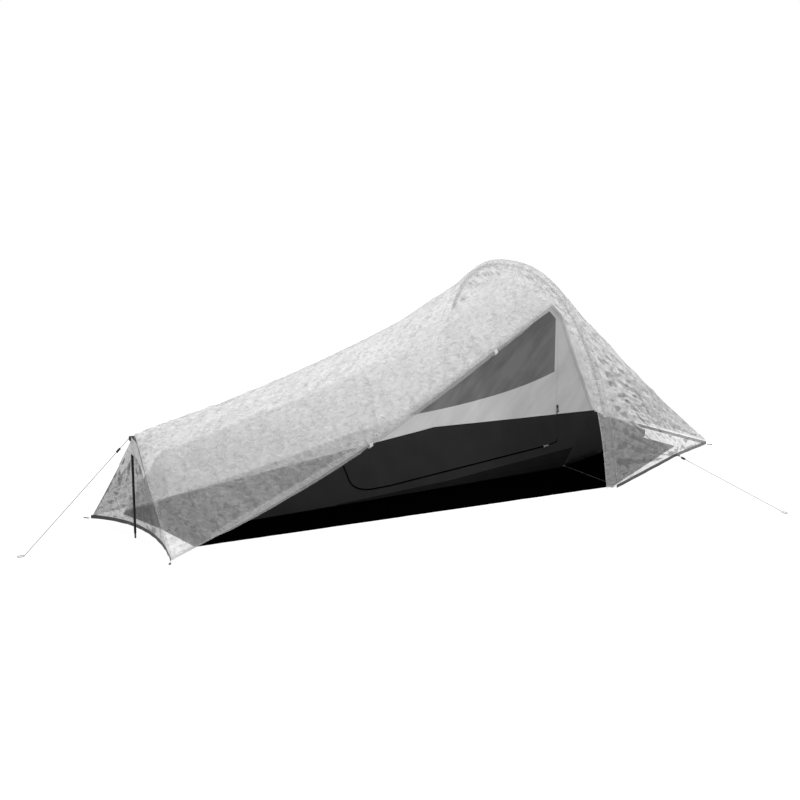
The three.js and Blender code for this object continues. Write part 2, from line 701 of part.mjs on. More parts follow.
// The far wall rises from the floor's far edge (angle 0) to the ridge (a quarter turn).
function farWallPoint(share, rise, depth) {
  const top = worldRidge(share);
  const base = farFoot.clone().lerp(farShoulder, share);
  const bend = lerp(FAR_FOOT_ROUNDNESS, HOOP_ROUNDNESS, Math.sqrt(share));
  const angle = (rise * Math.PI) / 2;
  const across = Math.cos(angle) ** bend;
  const up = Math.abs(Math.sin(angle)) ** bend;
  const reach = base.y - top.y - depth - CLEARANCE;
  const z = base.z + up * (top.z - depth - base.z);
  return vec(lerp(base.x, top.x, up), top.y + CLEARANCE + across * reach, z);
}

function riseAtShare(share, part) {
  const bend = lerp(FAR_FOOT_ROUNDNESS, HOOP_ROUNDNESS, Math.sqrt(share));
  return (Math.asin(part ** (1 / bend)) * 2) / Math.PI;
}

function buildFarWall() {
  const endGap = 0.001;
  const darkPart = (share) => lerp(0.06, FAR_DARK_SHARE, Math.min(1, share * 1.6));
  const lower = (a, b, d) => {
    const share = lerp(endGap, 1, a);
    return farWallPoint(share, b * riseAtShare(share, darkPart(share)), d * WALL_THICKNESS);
  };
  add('inner_far_lower', bentSheet(16, 3, lower), 'innerDark');
  const upper = (a, b, d) => {
    const share = lerp(endGap, 1, a);
    const start = riseAtShare(share, darkPart(share)) + 0.002;
    return farWallPoint(share, lerp(start, 1, b), d * WALL_THICKNESS);
  };
  add('inner_far_upper', bentSheet(16, 6, upper), 'innerLight');
}

const headNear = vec(innerHeadX, -INNER_HEAD_NEAR, WALL_FOOT);
const headFar = vec(innerHeadX, INNER_HEAD_FAR, WALL_FOOT);
const HEAD_END_HEIGHT = 40;

// Walls past the hoop run straight from the fold beside the hoop to the low head end.
function buildInnerHead() {
  const foldGap = 1.2;
  const nearFold = [foldAt(WALL_LOW), foldTop, foldHigh, lift(hingeHead, 9), innerRidge(1)];
  const foldPoint = (index, share) => {
    const spot = nearFold[index].clone().lerp(nearFold[index + 1], share);
    return wallPoint(spot.x + foldGap, spot.y, 0);
  };
  const inward = (point, d, across) => point.clone().addScaledVector(across, d * WALL_THICKNESS);
  const wallInward = vec(-0.2, 0.95, -0.2);
  const roofInward = vec(-0.55, 0.55, -0.6);
  const lowNear = (a, b, d) => {
    const start = foldPoint(0, b * 0.995);
    const end = vec(headNear.x, headNear.y, lerp(WALL_FOOT, HEAD_END_HEIGHT - 4, b));
    return inward(start.lerp(end, a), d, wallInward);
  };
  add('inner_head_lower', bentSheet(8, 4, lowNear), 'innerDark');
  const middleY = (INNER_HEAD_FAR - INNER_HEAD_NEAR) / 2;
  const highNear = (a, b, d) => {
    const slot = Math.min(2.999, b * 3);
    const index = Math.floor(slot);
    const start = foldPoint(index + 1, slot - index);
    start.z += 0.8;
    const end = vec(headNear.x, lerp(headNear.y, middleY - 1, b), HEAD_END_HEIGHT);
    return inward(start.lerp(end, a), d, roofInward);
  };
  add('inner_head_near', bentSheet(8, 9, highNear), 'innerLight');
  const farSide = (a, b, d) => {
    const start = farWallPoint(1, b, d * WALL_THICKNESS);
    start.x += foldGap;
    const low = vec(headFar.x, headFar.y - d * 1.5, WALL_FOOT);
    const high = vec(headFar.x, middleY + 1, HEAD_END_HEIGHT - d * 1.5);
    return start.lerp(low.lerp(high, b), a);
  };
  add('inner_head_far', bentSheet(8, 8, farSide), 'innerLight');
}

// The foot end closes the inner. Its dark lower part falls from the near wall's to the far corner.
function buildInnerFoot() {
  const near = wallPoint(footLow.x, WALL_LOW, -CLEARANCE);
  const back = 2 * CLEARANCE + 1;
  const darkHigh = wallPoint(darkFoot.x, darkFoot.y).z;
  const darkLow = WALL_FOOT + 4;
  const wall = (a, share, d) => {
    const low = near.clone().lerp(vec(farFoot.x, farFoot.y - 4, WALL_FOOT), a);
    const top = farWallPoint(0, lerp(1, 0.1, a), 2);
    const split = (lerp(darkHigh, darkLow, a) - low.z) / (top.z - low.z);
    const point = low.lerp(top, share(Math.min(split, 0.8)));
    point.x -= back + d * WALL_THICKNESS;
    return point;
  };
  const lower = (a, b, d) => wall(a, (split) => b * split, d);
  add('inner_foot_lower', bentSheet(8, 2, lower), 'innerDark');
  const upper = (a, b, d) => wall(a, (split) => lerp(split + 0.004, 1, b), d);
  add('inner_foot_wall', bentSheet(8, 3, upper), 'innerLight');
}

// ---- Rolled fly door and its ties ------------------------------------------------------

const ROLL_DIAMETER = 30;
const ROLL_DEPTH = 16;
const ROLL_SHIFT = 10;

class DoorRollCurve extends THREE.Curve {
  constructor(from, to) {
    super();
    this.from = from;
    this.to = to;
  }

  getPoint(share, target = vec(0, 0, 0)) {
    const u = lerp(this.from, this.to, share);
    target.copy(flyPoint(u, doorEdgeAngle(u), ROLL_DEPTH));
    target.y += ROLL_SHIFT;
    return target;
  }
}

const ROLL_ENDS = [0.09, 0.93];
const TIE_SHARES = [0.45, 0.8];
const TIE_HALF_SHARE = 0.004;
const TIE_WALL = 1.2;

function buildDoorRoll() {
  const roll = tube(new DoorRollCurve(...ROLL_ENDS), ROLL_DIAMETER, 0, 8, 26);
  add('fly_door_roll', roll, 'fly');
  const bore = ROLL_DIAMETER + 2 * TIE_WALL;
  TIE_SHARES.forEach((u, k) => {
    const path = new DoorRollCurve(u - TIE_HALF_SHARE, u + TIE_HALF_SHARE);
    add(`fly_door_tie_${k + 1}`, tube(path, bore + 2 * TIE_WALL, bore, 10, 2), 'binding');
  });
}

// ---- Loops, guylines and small parts ---------------------------------------------------

const LOOP_LENGTH = 24;
const LOOP_THICKNESS = 1.6;

function buildLoop(name, x, y, heading) {
  const outline = [flat(0, -5), flat(LOOP_LENGTH, -4), flat(LOOP_LENGTH, 4), flat(0, 5)];
  const eyeStart = LOOP_LENGTH - 11;
  const eyeEnd = LOOP_LENGTH - 3;
  const eye = [flat(eyeStart, 2), flat(eyeEnd, 2), flat(eyeEnd, -2), flat(eyeStart, -2)];
  const loop = add(name, slab(outline, LOOP_THICKNESS, eye), 'binding');
  loop.position.set(x, y, SEAM_GAP / 2);
  loop.rotation.z = THREE.MathUtils.degToRad(heading);
}

function buildLoops() {
  const out = 3 * FLY_THICKNESS;
  const footX = FOOT_X - out + 1;
  const headX = HEAD_X + out - 1;
  const headY = HEAD_WIDTH / 2 + 4;
  buildLoop('peg_loop_foot_near', footX, -FOOT_WIDTH / 2 - out, 235);
  buildLoop('peg_loop_foot_far', footX, FOOT_WIDTH / 2 + out, 125);
  buildLoop('peg_loop_head_near', headX, -headY, -55);
  buildLoop('peg_loop_head_far', headX, headY, 55);
}

const PEGGED_HEIGHT = 2.2;
const RUNNER_DIAMETER = 10;
const footPeg = vec(FOOT_X - 380, 42, PEGGED_HEIGHT);
const headPeg = vec(HOOP_X + 270, -HOOP_WIDTH / 2 - 620, PEGGED_HEIGHT);
const pullOutX = HOOP_X + PULL_OUT_FROM_HOOP;

// A guyline runs straight from the tent to its peg and carries one tensioning runner.
function buildGuyline(place, start, peg, runnerStart) {
  add(`guyline_${place}`, tube(new THREE.LineCurve3(start, peg), GUY_DIAMETER, 0, 8, 12), 'cord');
  const along = peg.clone().sub(start).normalize();
  const section = new THREE.Shape(ring(RUNNER_DIAMETER / 2, 10));
  section.holes.push(new THREE.Path(ring(GUY_DIAMETER / 2 + CLEARANCE, 10)));
  const body = new THREE.ExtrudeGeometry(section, { depth: RUNNER_LENGTH, bevelEnabled: false });
  const runner = add(`runner_${place}`, body, 'plastic');
  runner.quaternion.setFromUnitVectors(vec(0, 0, 1), along);
  runner.position.copy(start).addScaledVector(along, runnerStart);
}

function buildGuylines() {
  buildGuyline('foot', vec(STRUT_X - 11, 0, STRUT_TOP + 10), footPeg, 45);
  const pullOut = vec(pullOutX - 1, -HOOP_WIDTH / 2 - 14, PULL_OUT_HEIGHT + 4);
  buildGuyline('head_near', pullOut, headPeg, 18);
}

const LUG_THICKNESS = 3;
const SHOULDER_CORD_HEIGHT = 12;

function buildTabs() {
  const tab = new THREE.BoxGeometry(20, 10, 18);
  tab.translate(STRUT_X, 0, STRUT_TOP + 10);
  add('ridge_tab', tab, 'binding');
  for (const [name, side] of [['near', -1], ['far', 1]]) {
    const lug = new THREE.BoxGeometry(18, 10, LUG_THICKNESS);
    lug.translate(pullOutX, side * (HOOP_WIDTH / 2 + 8), PULL_OUT_HEIGHT + 5);
    add(`pull_out_tab_${name}`, lug, 'binding');
  }
  const cordStart = vec(SHOULDER_X, -SHOULDER_NEAR - 16, SHOULDER_CORD_HEIGHT);
  const cordEnd = vec(HOOP_X - 1, -HOOP_WIDTH / 2 + 24, SHOULDER_CORD_HEIGHT - 2);
  const line = new THREE.LineCurve3(cordStart, cordEnd);
  add('shoulder_cord', tube(line, SHOULDER_CORD_DIAMETER, 0, 6, 8), 'elastic');
  const loop = new THREE.BoxGeometry(8, 12, LUG_THICKNESS);
  loop.translate(SHOULDER_X, -SHOULDER_NEAR - 9, SHOULDER_CORD_HEIGHT);
  add('shoulder_loop', loop, 'binding');
}

buildHoop();
buildStrut();
buildFlyBody();
buildSleeveBand();
buildFootEnd();
buildHead();
buildDoorRoll();
buildGroundsheet();
buildFloor();
buildNearWall();
buildDoor();
buildZip();
buildSlider('zip_slider_low', zipLowStart, zipLowEnd, 1);
buildSlider('zip_slider_side', doorCorner, doorTop, 0.28);
buildFarWall();
buildInnerHead();
buildInnerFoot();
buildLoops();
buildGuylines();
buildTabs();

export default tent;
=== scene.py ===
"""Looks of a one-person single-hoop bivy tent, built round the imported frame.

The fly is a crinkled translucent film, drawn as fine single sheets over the same form as the frame's
panels. The inner tent's walls are the frame's own outlines, cut into a fine grid and rippled together, so
that the door, its zip and the wall beside it stay flush. Cords follow their routes in metres.
"""

import json
import logging
import math
from dataclasses import dataclass, field
from enum import Enum
from typing import Callable, Iterable, Sequence

import bmesh
import bpy
import numpy as np
from mathutils import Matrix, Vector

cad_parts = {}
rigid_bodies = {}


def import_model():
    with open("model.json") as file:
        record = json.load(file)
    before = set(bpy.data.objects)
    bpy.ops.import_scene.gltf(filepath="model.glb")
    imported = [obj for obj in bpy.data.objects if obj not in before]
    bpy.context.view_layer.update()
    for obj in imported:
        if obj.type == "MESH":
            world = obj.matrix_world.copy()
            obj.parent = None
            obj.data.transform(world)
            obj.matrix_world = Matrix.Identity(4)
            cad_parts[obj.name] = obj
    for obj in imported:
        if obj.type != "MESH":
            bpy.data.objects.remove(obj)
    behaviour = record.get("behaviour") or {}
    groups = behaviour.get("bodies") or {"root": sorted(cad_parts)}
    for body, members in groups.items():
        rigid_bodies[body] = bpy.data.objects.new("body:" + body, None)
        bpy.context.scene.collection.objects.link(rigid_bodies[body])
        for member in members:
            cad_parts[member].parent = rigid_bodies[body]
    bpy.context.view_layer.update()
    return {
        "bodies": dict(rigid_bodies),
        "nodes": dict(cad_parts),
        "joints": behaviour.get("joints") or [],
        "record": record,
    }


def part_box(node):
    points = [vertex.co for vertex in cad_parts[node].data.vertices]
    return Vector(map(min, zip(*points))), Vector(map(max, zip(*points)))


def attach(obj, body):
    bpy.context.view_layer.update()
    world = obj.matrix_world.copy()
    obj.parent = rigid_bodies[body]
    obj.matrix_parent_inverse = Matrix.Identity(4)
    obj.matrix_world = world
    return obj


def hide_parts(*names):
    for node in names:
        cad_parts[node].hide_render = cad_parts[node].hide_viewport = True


LOG = logging.getLogger("bivy_tent")
TENT = "tent"
INNER_DOOR = "inner_door"
# The stored slope of the fly's folds, which the film reads as painted shade.
FOLD_SLOPE_SHADE = "fold"

Array = np.ndarray


class Slot(str, Enum):
    """The record's material slot names; only a cord's slot is read, to pick its material."""

    POLE = "pole_alloy"
    STRUT = "strut_alloy"
    ELASTIC = "shock_cord"
    FILM = "fly_film"
    WEBBING = "grey_webbing"
    GROUND = "black_groundsheet"
    FLOOR = "tub_floor"
    TUB = "tub_wall"
    INNER = "inner_fabric"
    NET = "insect_mesh"
    ZIP = "zip_coil"
    PLASTIC = "black_plastic"
    CORD = "pale_cord"


# ---- Finishes --------------------------------------------------------------------------


class Graph:
    """A material's node tree, with short calls for the nodes that the finishes share."""

    def __init__(self, name: str) -> None:
        """Start a material that holds one Principled shader.

        Args:
            name: The material's name.
        """
        self.material = bpy.data.materials.new(name)
        self.material.use_nodes = True
        self.nodes = self.material.node_tree.nodes
        self.links = self.material.node_tree.links
        self.shader = self.nodes["Principled BSDF"]
        self.place = self.nodes.new("ShaderNodeTexCoord").outputs["Object"]

    def mapped(self, stretch: Sequence[float] = (1.0, 1.0, 1.0),
               turn: Sequence[float] = (0.0, 0.0, 0.0)) -> bpy.types.NodeSocket:
        """Object coordinates, with a pattern stretched along its own axes and then turned.

        Args:
            stretch: How much longer the pattern is along each of its own axes.
            turn: Its turn about x, y and z, in radians.

        Returns:
            The places to read a texture at.
        """
        node = self.nodes.new("ShaderNodeMapping")
        node.vector_type = "TEXTURE"
        node.inputs["Scale"].default_value = stretch
        node.inputs["Rotation"].default_value = turn
        self.links.new(self.place, node.inputs["Vector"])
        return node.outputs["Vector"]

    def noise(self, vector: bpy.types.NodeSocket, scale: float, detail: float = 4.0,
              distortion: float = 0.0) -> bpy.types.NodeSocket:
        """A noise texture's value.

        Args:
            vector: The places to read it at.
            scale: How fine it is, in features a metre.
            detail: How many finer layers it has.
            distortion: How far it is warped.

        Returns:
            A value from 0 to 1.
        """
        node = self.nodes.new("ShaderNodeTexNoise")
        node.inputs["Scale"].default_value = scale
        node.inputs["Detail"].default_value = detail
        node.inputs["Distortion"].default_value = distortion
        self.links.new(vector, node.inputs["Vector"])
        return node.outputs["Fac"]

    def wave(self, vector: bpy.types.NodeSocket, scale: float, direction: str = "X") -> bpy.types.NodeSocket:
        """A band texture's value.

        Args:
            vector: The places to read it at.
            scale: How fine the bands are.
            direction: The axis that crosses the bands.

        Returns:
            A value from 0 to 1.
        """
        node = self.nodes.new("ShaderNodeTexWave")
        node.bands_direction = direction
        node.inputs["Scale"].default_value = scale
        self.links.new(vector, node.inputs["Vector"])
        return node.outputs["Fac"]

    def ramp(self, value: bpy.types.NodeSocket, low: Sequence[float], high: Sequence[float],
             start: float = 0.3, end: float = 0.7) -> bpy.types.NodeSocket:
        """A colour between low and high.

        Args:
            value: What picks the colour.
            low: The colour at and below start.
            high: The colour at and above end.
            start: Where the change starts.
            end: Where it ends.

        Returns:
            The colour.
        """
        node = self.nodes.new("ShaderNodeValToRGB")
        node.color_ramp.elements[0].position = start
        node.color_ramp.elements[0].color = (*low, 1.0)
        node.color_ramp.elements[1].position = end
        node.color_ramp.elements[1].color = (*high, 1.0)
        self.links.new(value, node.inputs["Fac"])
        return node.outputs["Color"]

    def multiply(self, first: bpy.types.NodeSocket, second: bpy.types.NodeSocket,
                 share: float = 1.0) -> bpy.types.NodeSocket:
        """One colour times another.

        Args:
            first: The colour that is changed.
            second: The colour that it is multiplied by.
            share: How much of the change is kept.

        Returns:
            The product.
        """
        node = self.nodes.new("ShaderNodeMix")
        node.data_type = "RGBA"
        node.blend_type = "MULTIPLY"
        node.inputs["Factor"].default_value = share
        self.links.new(first, node.inputs[6])
        self.links.new(second, node.inputs[7])
        return node.outputs[2]

    def bump(self, height: bpy.types.NodeSocket, strength: float, distance: float,
             below: bpy.types.NodeSocket | None = None) -> bpy.types.NodeSocket:
        """A bump from a height, on top of another bump.

        Args:
            height: The pattern that stands out.
            strength: How much of the bump is used.
            distance: Its height in metres.
            below: Another bump that it lies on.

        Returns:
            The normal.
        """
        node = self.nodes.new("ShaderNodeBump")
        node.inputs["Strength"].default_value = strength
        node.inputs["Distance"].default_value = distance
        self.links.new(height, node.inputs["Height"])
        if below is not None:
            self.links.new(below, node.inputs["Normal"])
        return node.outputs["Normal"]

    def attribute(self, name: str) -> bpy.types.NodeSocket:
        """A value stored on the piece's own points.

        Args:
            name: The attribute's name.

        Returns:
            Its value at each place.
        """
        node = self.nodes.new("ShaderNodeAttribute")
        node.attribute_name = name
        return node.outputs["Fac"]

    def ranged(self, value: bpy.types.NodeSocket, start: float, end: float, low: float,
               high: float) -> bpy.types.NodeSocket:
        """A value moved from the span start to end into the span low to high.

        Args:
            value: The value that is moved.
            start: Where its span starts.
            end: Where its span ends.
            low: What start becomes.
            high: What end becomes.

        Returns:
            The moved value.
        """
        node = self.nodes.new("ShaderNodeMapRange")
        for socket, number in zip(("From Min", "From Max", "To Min", "To Max"), (start, end, low, high)):
            node.inputs[socket].default_value = number
        self.links.new(value, node.inputs["Value"])
        return node.outputs["Result"]

    def add(self, first: bpy.types.NodeSocket, second: bpy.types.NodeSocket) -> bpy.types.NodeSocket:
        """The sum of two values, held between 0 and 1.

        Args:
            first: One value.
            second: The other value.

        Returns:
            Their sum.
        """
        node = self.nodes.new("ShaderNodeMath")
        node.use_clamp = True
        self.links.new(first, node.inputs[0])
        self.links.new(second, node.inputs[1])
        return node.outputs["Value"]

    def colour(self, socket: bpy.types.NodeSocket) -> None:
        """Send a colour to the shader."""
        self.links.new(socket, self.shader.inputs["Base Color"])

    def relief(self, socket: bpy.types.NodeSocket) -> None:
        """Send a normal to the shader."""
        self.links.new(socket, self.shader.inputs["Normal"])

    def rough(self, socket: bpy.types.NodeSocket, low: float, high: float) -> None:
        """Send a value to the shader's roughness, between low and high."""
        self.links.new(self.ranged(socket, 0.0, 1.0, low, high), self.shader.inputs["Roughness"])

    def put(self, **values: float | Sequence[float]) -> None:
        """Set constant values on the shader's own sockets, named with _ for a space."""
        for name, value in values.items():
            self.shader.inputs[name.replace("_", " ")].default_value = value


def grey(level: float) -> tuple[float, float, float]:
    """A neutral colour."""
    return (level, level, level)


@dataclass(frozen=True)
class Film:
    """A thin crinkled laminate that lets light through, and less of it along its creases, with painted shade
    darkening its creases and one side of its folds.

    Attributes:
        name: The material's name.
        level: Grey level of the film.
        alpha: How much of what lies behind it is hidden.
        veil: How much more the creases hide.
        crease_shade: How much darker the creases are, as a share: painted shade of the crinkles.
        grain: Size of the crinkle, as the texture's scale.
        relief: Strength of the crinkle's bump.
        folds: How much painted shade the sheet's stored fold slope puts into its colour, as if lit from one
            side, and how much more the folds hide, or 0 for a piece that stores none.
    """

    name: str
    level: float = 0.56
    alpha: float = 0.36
    veil: float = 0.16
    crease_shade: float = 0.3
    grain: float = 78.0
    relief: float = 0.8
    roughness: float = 0.36
    folds: float = 0.0

    def build(self) -> bpy.types.Material:
        """Make the material.

        Returns:
            The material.
        """
        g = Graph(self.name)
        one_way = g.mapped((3.6, 1.0, 1.0), (0.2, 0.5, 0.15))
        other_way = g.mapped((3.0, 1.0, 1.0), (0.5, -0.15, 0.5))
        first = g.noise(one_way, self.grain, 8.0, 0.5)
        second = g.noise(other_way, self.grain * 0.8, 8.0, 0.5)
        cloud = g.noise(g.mapped(), 4.5, 5.0, 0.6)
        # Painted shade: the crease strokes are darker, standing in for the shade in the crinkles; the cloud
        # below adds a random mottle.
        dark = grey(self.level * (1 - self.crease_shade))
        mottle_and_painted_shade = g.ramp(first, dark, grey(self.level), 0.32, 0.6)
        mottle_and_painted_shade = g.multiply(mottle_and_painted_shade, g.ramp(second, grey(1 - self.crease_shade), grey(1.0), 0.3, 0.55))
        mottle_and_painted_shade = g.multiply(mottle_and_painted_shade, g.ramp(cloud, grey(0.85), grey(1.0)))
        hide = g.ranged(first, 0.62, 0.36, self.alpha, min(1.0, self.alpha + self.veil))
        if self.folds > 0:
            fold = g.attribute(FOLD_SLOPE_SHADE)
            # Painted shade: folds are darker on the side that slopes one way, as if lit from one side.
            mottle_and_painted_shade = g.multiply(mottle_and_painted_shade, g.ramp(fold, grey(1 - self.folds), grey(1.0), 0.12, 0.5))
            hide = g.add(hide, g.ranged(fold, 0.45, 0.05, 0.0, 0.45 * self.folds))
        g.colour(mottle_and_painted_shade)
        g.links.new(hide, g.shader.inputs["Alpha"])
        under = g.bump(first, self.relief, 0.008)
        over = g.bump(second, self.relief, 0.006, under)
        g.relief(g.bump(g.noise(one_way, self.grain * 3.0, 6.0), 0.4, 0.0015, over))
        g.rough(cloud, self.roughness - 0.08, self.roughness + 0.1)
        g.put(Specular_IOR_Level=0.5)
        return g.material


@dataclass(frozen=True)
class Cloth:
    """A woven or coated fabric.

    Attributes:
        name: The material's name.
        level: Grey level of the cloth.
        spread: How far the level varies, as a share.
        thread: Scale of the weave.
        relief: Strength of the weave's bump.
        shine: Level of the cloth's gloss.
        folds: How much darker the long slanting folds are, as a share: painted shade in the folds.
    """

    name: str
    level: float
    spread: float = 0.15
    thread: float = 620.0
    relief: float = 0.12
    roughness: float = 0.7
    sheen: float = 0.0
    alpha: float = 1.0
    shine: float = 0.2
    folds: float = 0.0

    def build(self) -> bpy.types.Material:
        """Make the material.

        Returns:
            The material.
        """
        g = Graph(self.name)
        plain = g.mapped()
        cloud = g.noise(plain, 7.0, 5.0, 0.4)
        tone = g.ramp(cloud, grey(self.level * (1 - self.spread)), grey(self.level * (1 + self.spread)))
        warp = g.wave(plain, self.thread, "X")
        weft = g.wave(plain, self.thread, "Z")
        thread = g.ramp(warp, grey(0.9), grey(1.0))
        slanting = g.noise(g.mapped((8.0, 1.0, 1.0), (0.0, -0.72, 0.0)), 22.0, 3.0, 0.3)
        # Painted shade: the slanting folds are darkened in colour as well as raised by the bump.
        fold_shade_tone = g.ramp(slanting, grey(1 - self.folds), grey(1.0), 0.35, 0.6)
        g.colour(g.multiply(g.multiply(tone, thread, 0.5), fold_shade_tone))
        slants = g.bump(slanting, min(1.0, 0.15 + 2 * self.folds), 0.004)
        rumple = g.bump(g.noise(plain, 26.0, 6.0, 0.8), 0.15, 0.003, slants)
        first = g.bump(warp, self.relief, 0.0003, rumple)
        g.relief(g.bump(weft, self.relief, 0.0003, first))
        g.rough(cloud, self.roughness - 0.08, self.roughness + 0.08)
        g.put(Sheen_Weight=self.sheen, Specular_IOR_Level=self.shine, Alpha=self.alpha)
        return g.material


@dataclass(frozen=True)
class Webbing:
    """Ribbed woven tape."""

    name: str
    level: float = 0.06
    rib: float = 260.0

    def build(self) -> bpy.types.Material:
        """Make the material.

        Returns:
            The material.
        """
        g = Graph(self.name)
        plain = g.mapped((1.0, 1.0, 1.0), (0.0, 0.0, 0.6))
        ribs = g.wave(plain, self.rib, "X")
        fuzz = g.noise(plain, 400.0, 3.0)
        g.colour(g.ramp(ribs, grey(self.level * 0.75), grey(self.level * 1.25)))
        g.relief(g.bump(fuzz, 0.2, 0.0003, g.bump(ribs, 0.35, 0.0005)))
        g.rough(fuzz, 0.75, 0.95)
        g.put(Sheen_Weight=0.2, Specular_IOR_Level=0.2)
        return g.material


@dataclass(frozen=True)
class Metal:
    """Anodised tube with fine drawn lines."""

    name: str
    level: float
    roughness: float = 0.32

    def build(self) -> bpy.types.Material:
        """Make the material.

        Returns:
            The material.
        """
        g = Graph(self.name)
        lines = g.noise(g.mapped((1.0, 1.0, 20.0)), 900.0, 3.0)
        wear = g.noise(g.mapped(), 18.0, 5.0)
        g.colour(g.ramp(wear, grey(self.level * 0.85), grey(self.level * 1.1)))
        g.relief(g.bump(lines, 0.08, 0.0002))
        g.rough(wear, self.roughness - 0.05, self.roughness + 0.12)
        g.put(Metallic=1.0)
        return g.material


@dataclass(frozen=True)
class Plastic:
    """Moulded plastic with a fine spark-eroded grain."""

    name: str
    level: float = 0.012
    roughness: float = 0.42

    def build(self) -> bpy.types.Material:
        """Make the material.

        Returns:
            The material.
        """
        g = Graph(self.name)
        plain = g.mapped()
        grain = g.noise(plain, 1400.0, 2.0)
        wear = g.noise(plain, 60.0, 4.0)
        g.colour(g.ramp(wear, grey(self.level * 0.8), grey(self.level * 1.4)))
        g.relief(g.bump(grain, 0.15, 0.0002))
        g.rough(wear, self.roughness - 0.06, self.roughness + 0.1)
        g.put(Specular_IOR_Level=0.45)
        return g.material


@dataclass(frozen=True)
class Braid:
    """A thin braided cord, its strands crossing along the cord's own length."""

    name: str
    level: float
    pitch: float = 420.0

    def build(self) -> bpy.types.Material:
        """Make the material.

        Returns:
            The material.
        """
        g = Graph(self.name)
        one = g.wave(g.mapped((1.0, 1.0, 1.0), (0.0, 0.7, 0.8)), self.pitch, "X")
        two = g.wave(g.mapped((1.0, 1.0, 1.0), (0.0, -0.7, -0.8)), self.pitch, "X")
        first = g.ramp(one, grey(self.level * 0.8), grey(self.level))
        g.colour(g.multiply(first, g.ramp(two, grey(0.85), grey(1.0))))
        g.relief(g.bump(two, 0.3, 0.0004, g.bump(one, 0.3, 0.0004)))
        g.put(Roughness=0.8, Sheen_Weight=0.15)
        return g.material


@dataclass
class Finishes:
    """Every material of the tent, made once."""

    film: bpy.types.Material = field(init=False)
    film_double: bpy.types.Material = field(init=False)
    film_head_shaded: bpy.types.Material = field(init=False)
    film_foot_shaded: bpy.types.Material = field(init=False)
    film_sleeve: bpy.types.Material = field(init=False)
    inner_lit: bpy.types.Material = field(init=False)
    inner: bpy.types.Material = field(init=False)
    tub: bpy.types.Material = field(init=False)
    floor: bpy.types.Material = field(init=False)
    ground: bpy.types.Material = field(init=False)
    net: bpy.types.Material = field(init=False)
    zip: bpy.types.Material = field(init=False)
    webbing: bpy.types.Material = field(init=False)
    pole: bpy.types.Material = field(init=False)
    ferrule: bpy.types.Material = field(init=False)
    strut: bpy.types.Material = field(init=False)
    plastic: bpy.types.Material = field(init=False)
    cord: bpy.types.Material = field(init=False)
    elastic: bpy.types.Material = field(init=False)

    def __post_init__(self) -> None:
        """Build each material from its finish."""
        self.film = Film("fly_film", level=0.6, folds=0.32).build()
        self.film_double = Film("fly_film_double", 0.46, 0.3, 0.15, 0.25, 110.0, 0.3).build()
        # Painted shade: a darker copy of the same film, for the head panels.
        self.film_head_shaded = Film("fly_film_head_shaded", 0.52, 0.4, 0.2, 0.35, 64.0, 0.8, folds=0.7).build()
        # Painted shade: a much darker copy of the same film, for the foot panel that faces away from the
        # light.
        self.film_foot_shaded = Film("fly_film_foot_shaded", 0.19, 0.58, 0.15, 0.3, 74.0, 0.8, folds=0.5).build()
        self.film_sleeve = Film("fly_film_sleeve", 0.72, 0.96, 0.04, 0.2, 90.0, 0.5).build()
        # Painted light: a brighter, more see-through copy of the inner fabric, for the walls lit from above
        # through the fly.
        self.inner_lit = Cloth("inner_cloth_painted_lit", 0.95, 0.02, shine=0.1, alpha=0.28).build()
        self.inner = Cloth("inner_wall_cloth", 0.56, 0.03, shine=0.1, folds=0.1).build()
        self.tub = Cloth("tub_wall_cloth", 0.022, 0.12, roughness=0.8, shine=0.08).build()
        self.floor = Cloth("tub_floor_cloth", 0.009, 0.15, roughness=0.8, shine=0.03).build()
        # The groundsheet is black cloth, made darker than black cloth is so that it also stands in for the
        # vestibule's shade: partly painted shade.
        self.ground = Cloth("groundsheet_cloth", 0.0004, 0.1, roughness=1.0, shine=0.0).build()
        self.net = Cloth("insect_net", 0.19, 0.06, 900.0, 0.3, alpha=0.92, shine=0.1, folds=0.3).build()
        self.zip = Cloth("zip_tape", 0.0006, 0.1, roughness=1.0, shine=0.0).build()
        self.webbing = Webbing("grey_webbing", 0.05).build()
        self.pole = Metal("pole_tube", 0.03).build()
        self.ferrule = Metal("pole_ferrule", 0.02).build()
        self.strut = Metal("strut_tube", 0.02).build()
        self.plastic = Plastic("black_plastic").build()
        self.cord = Braid("guyline_braid", 0.26).build()
        self.elastic = Braid("elastic_braid", 0.03).build()


# ---- Mesh helpers ----------------------------------------------------------------------


def put_material(piece: bpy.types.Object, material: bpy.types.Material) -> None:
    """Give a piece one material."""
    piece.data.materials.clear()
    piece.data.materials.append(material)


def smooth(piece: bpy.types.Object) -> None:
    """Shade a piece's faces smooth."""
    piece.data.polygons.foreach_set("use_smooth", [True] * len(piece.data.polygons))


def link(name: str, mesh: bpy.types.Mesh) -> bpy.types.Object:
    """Put a mesh in the scene as a new object.

    Args:
        name: The object's name.
        mesh: Its mesh.

    Returns:
        The new object.
    """
    piece = bpy.data.objects.new(name, mesh)
    bpy.context.scene.collection.objects.link(piece)
    return piece


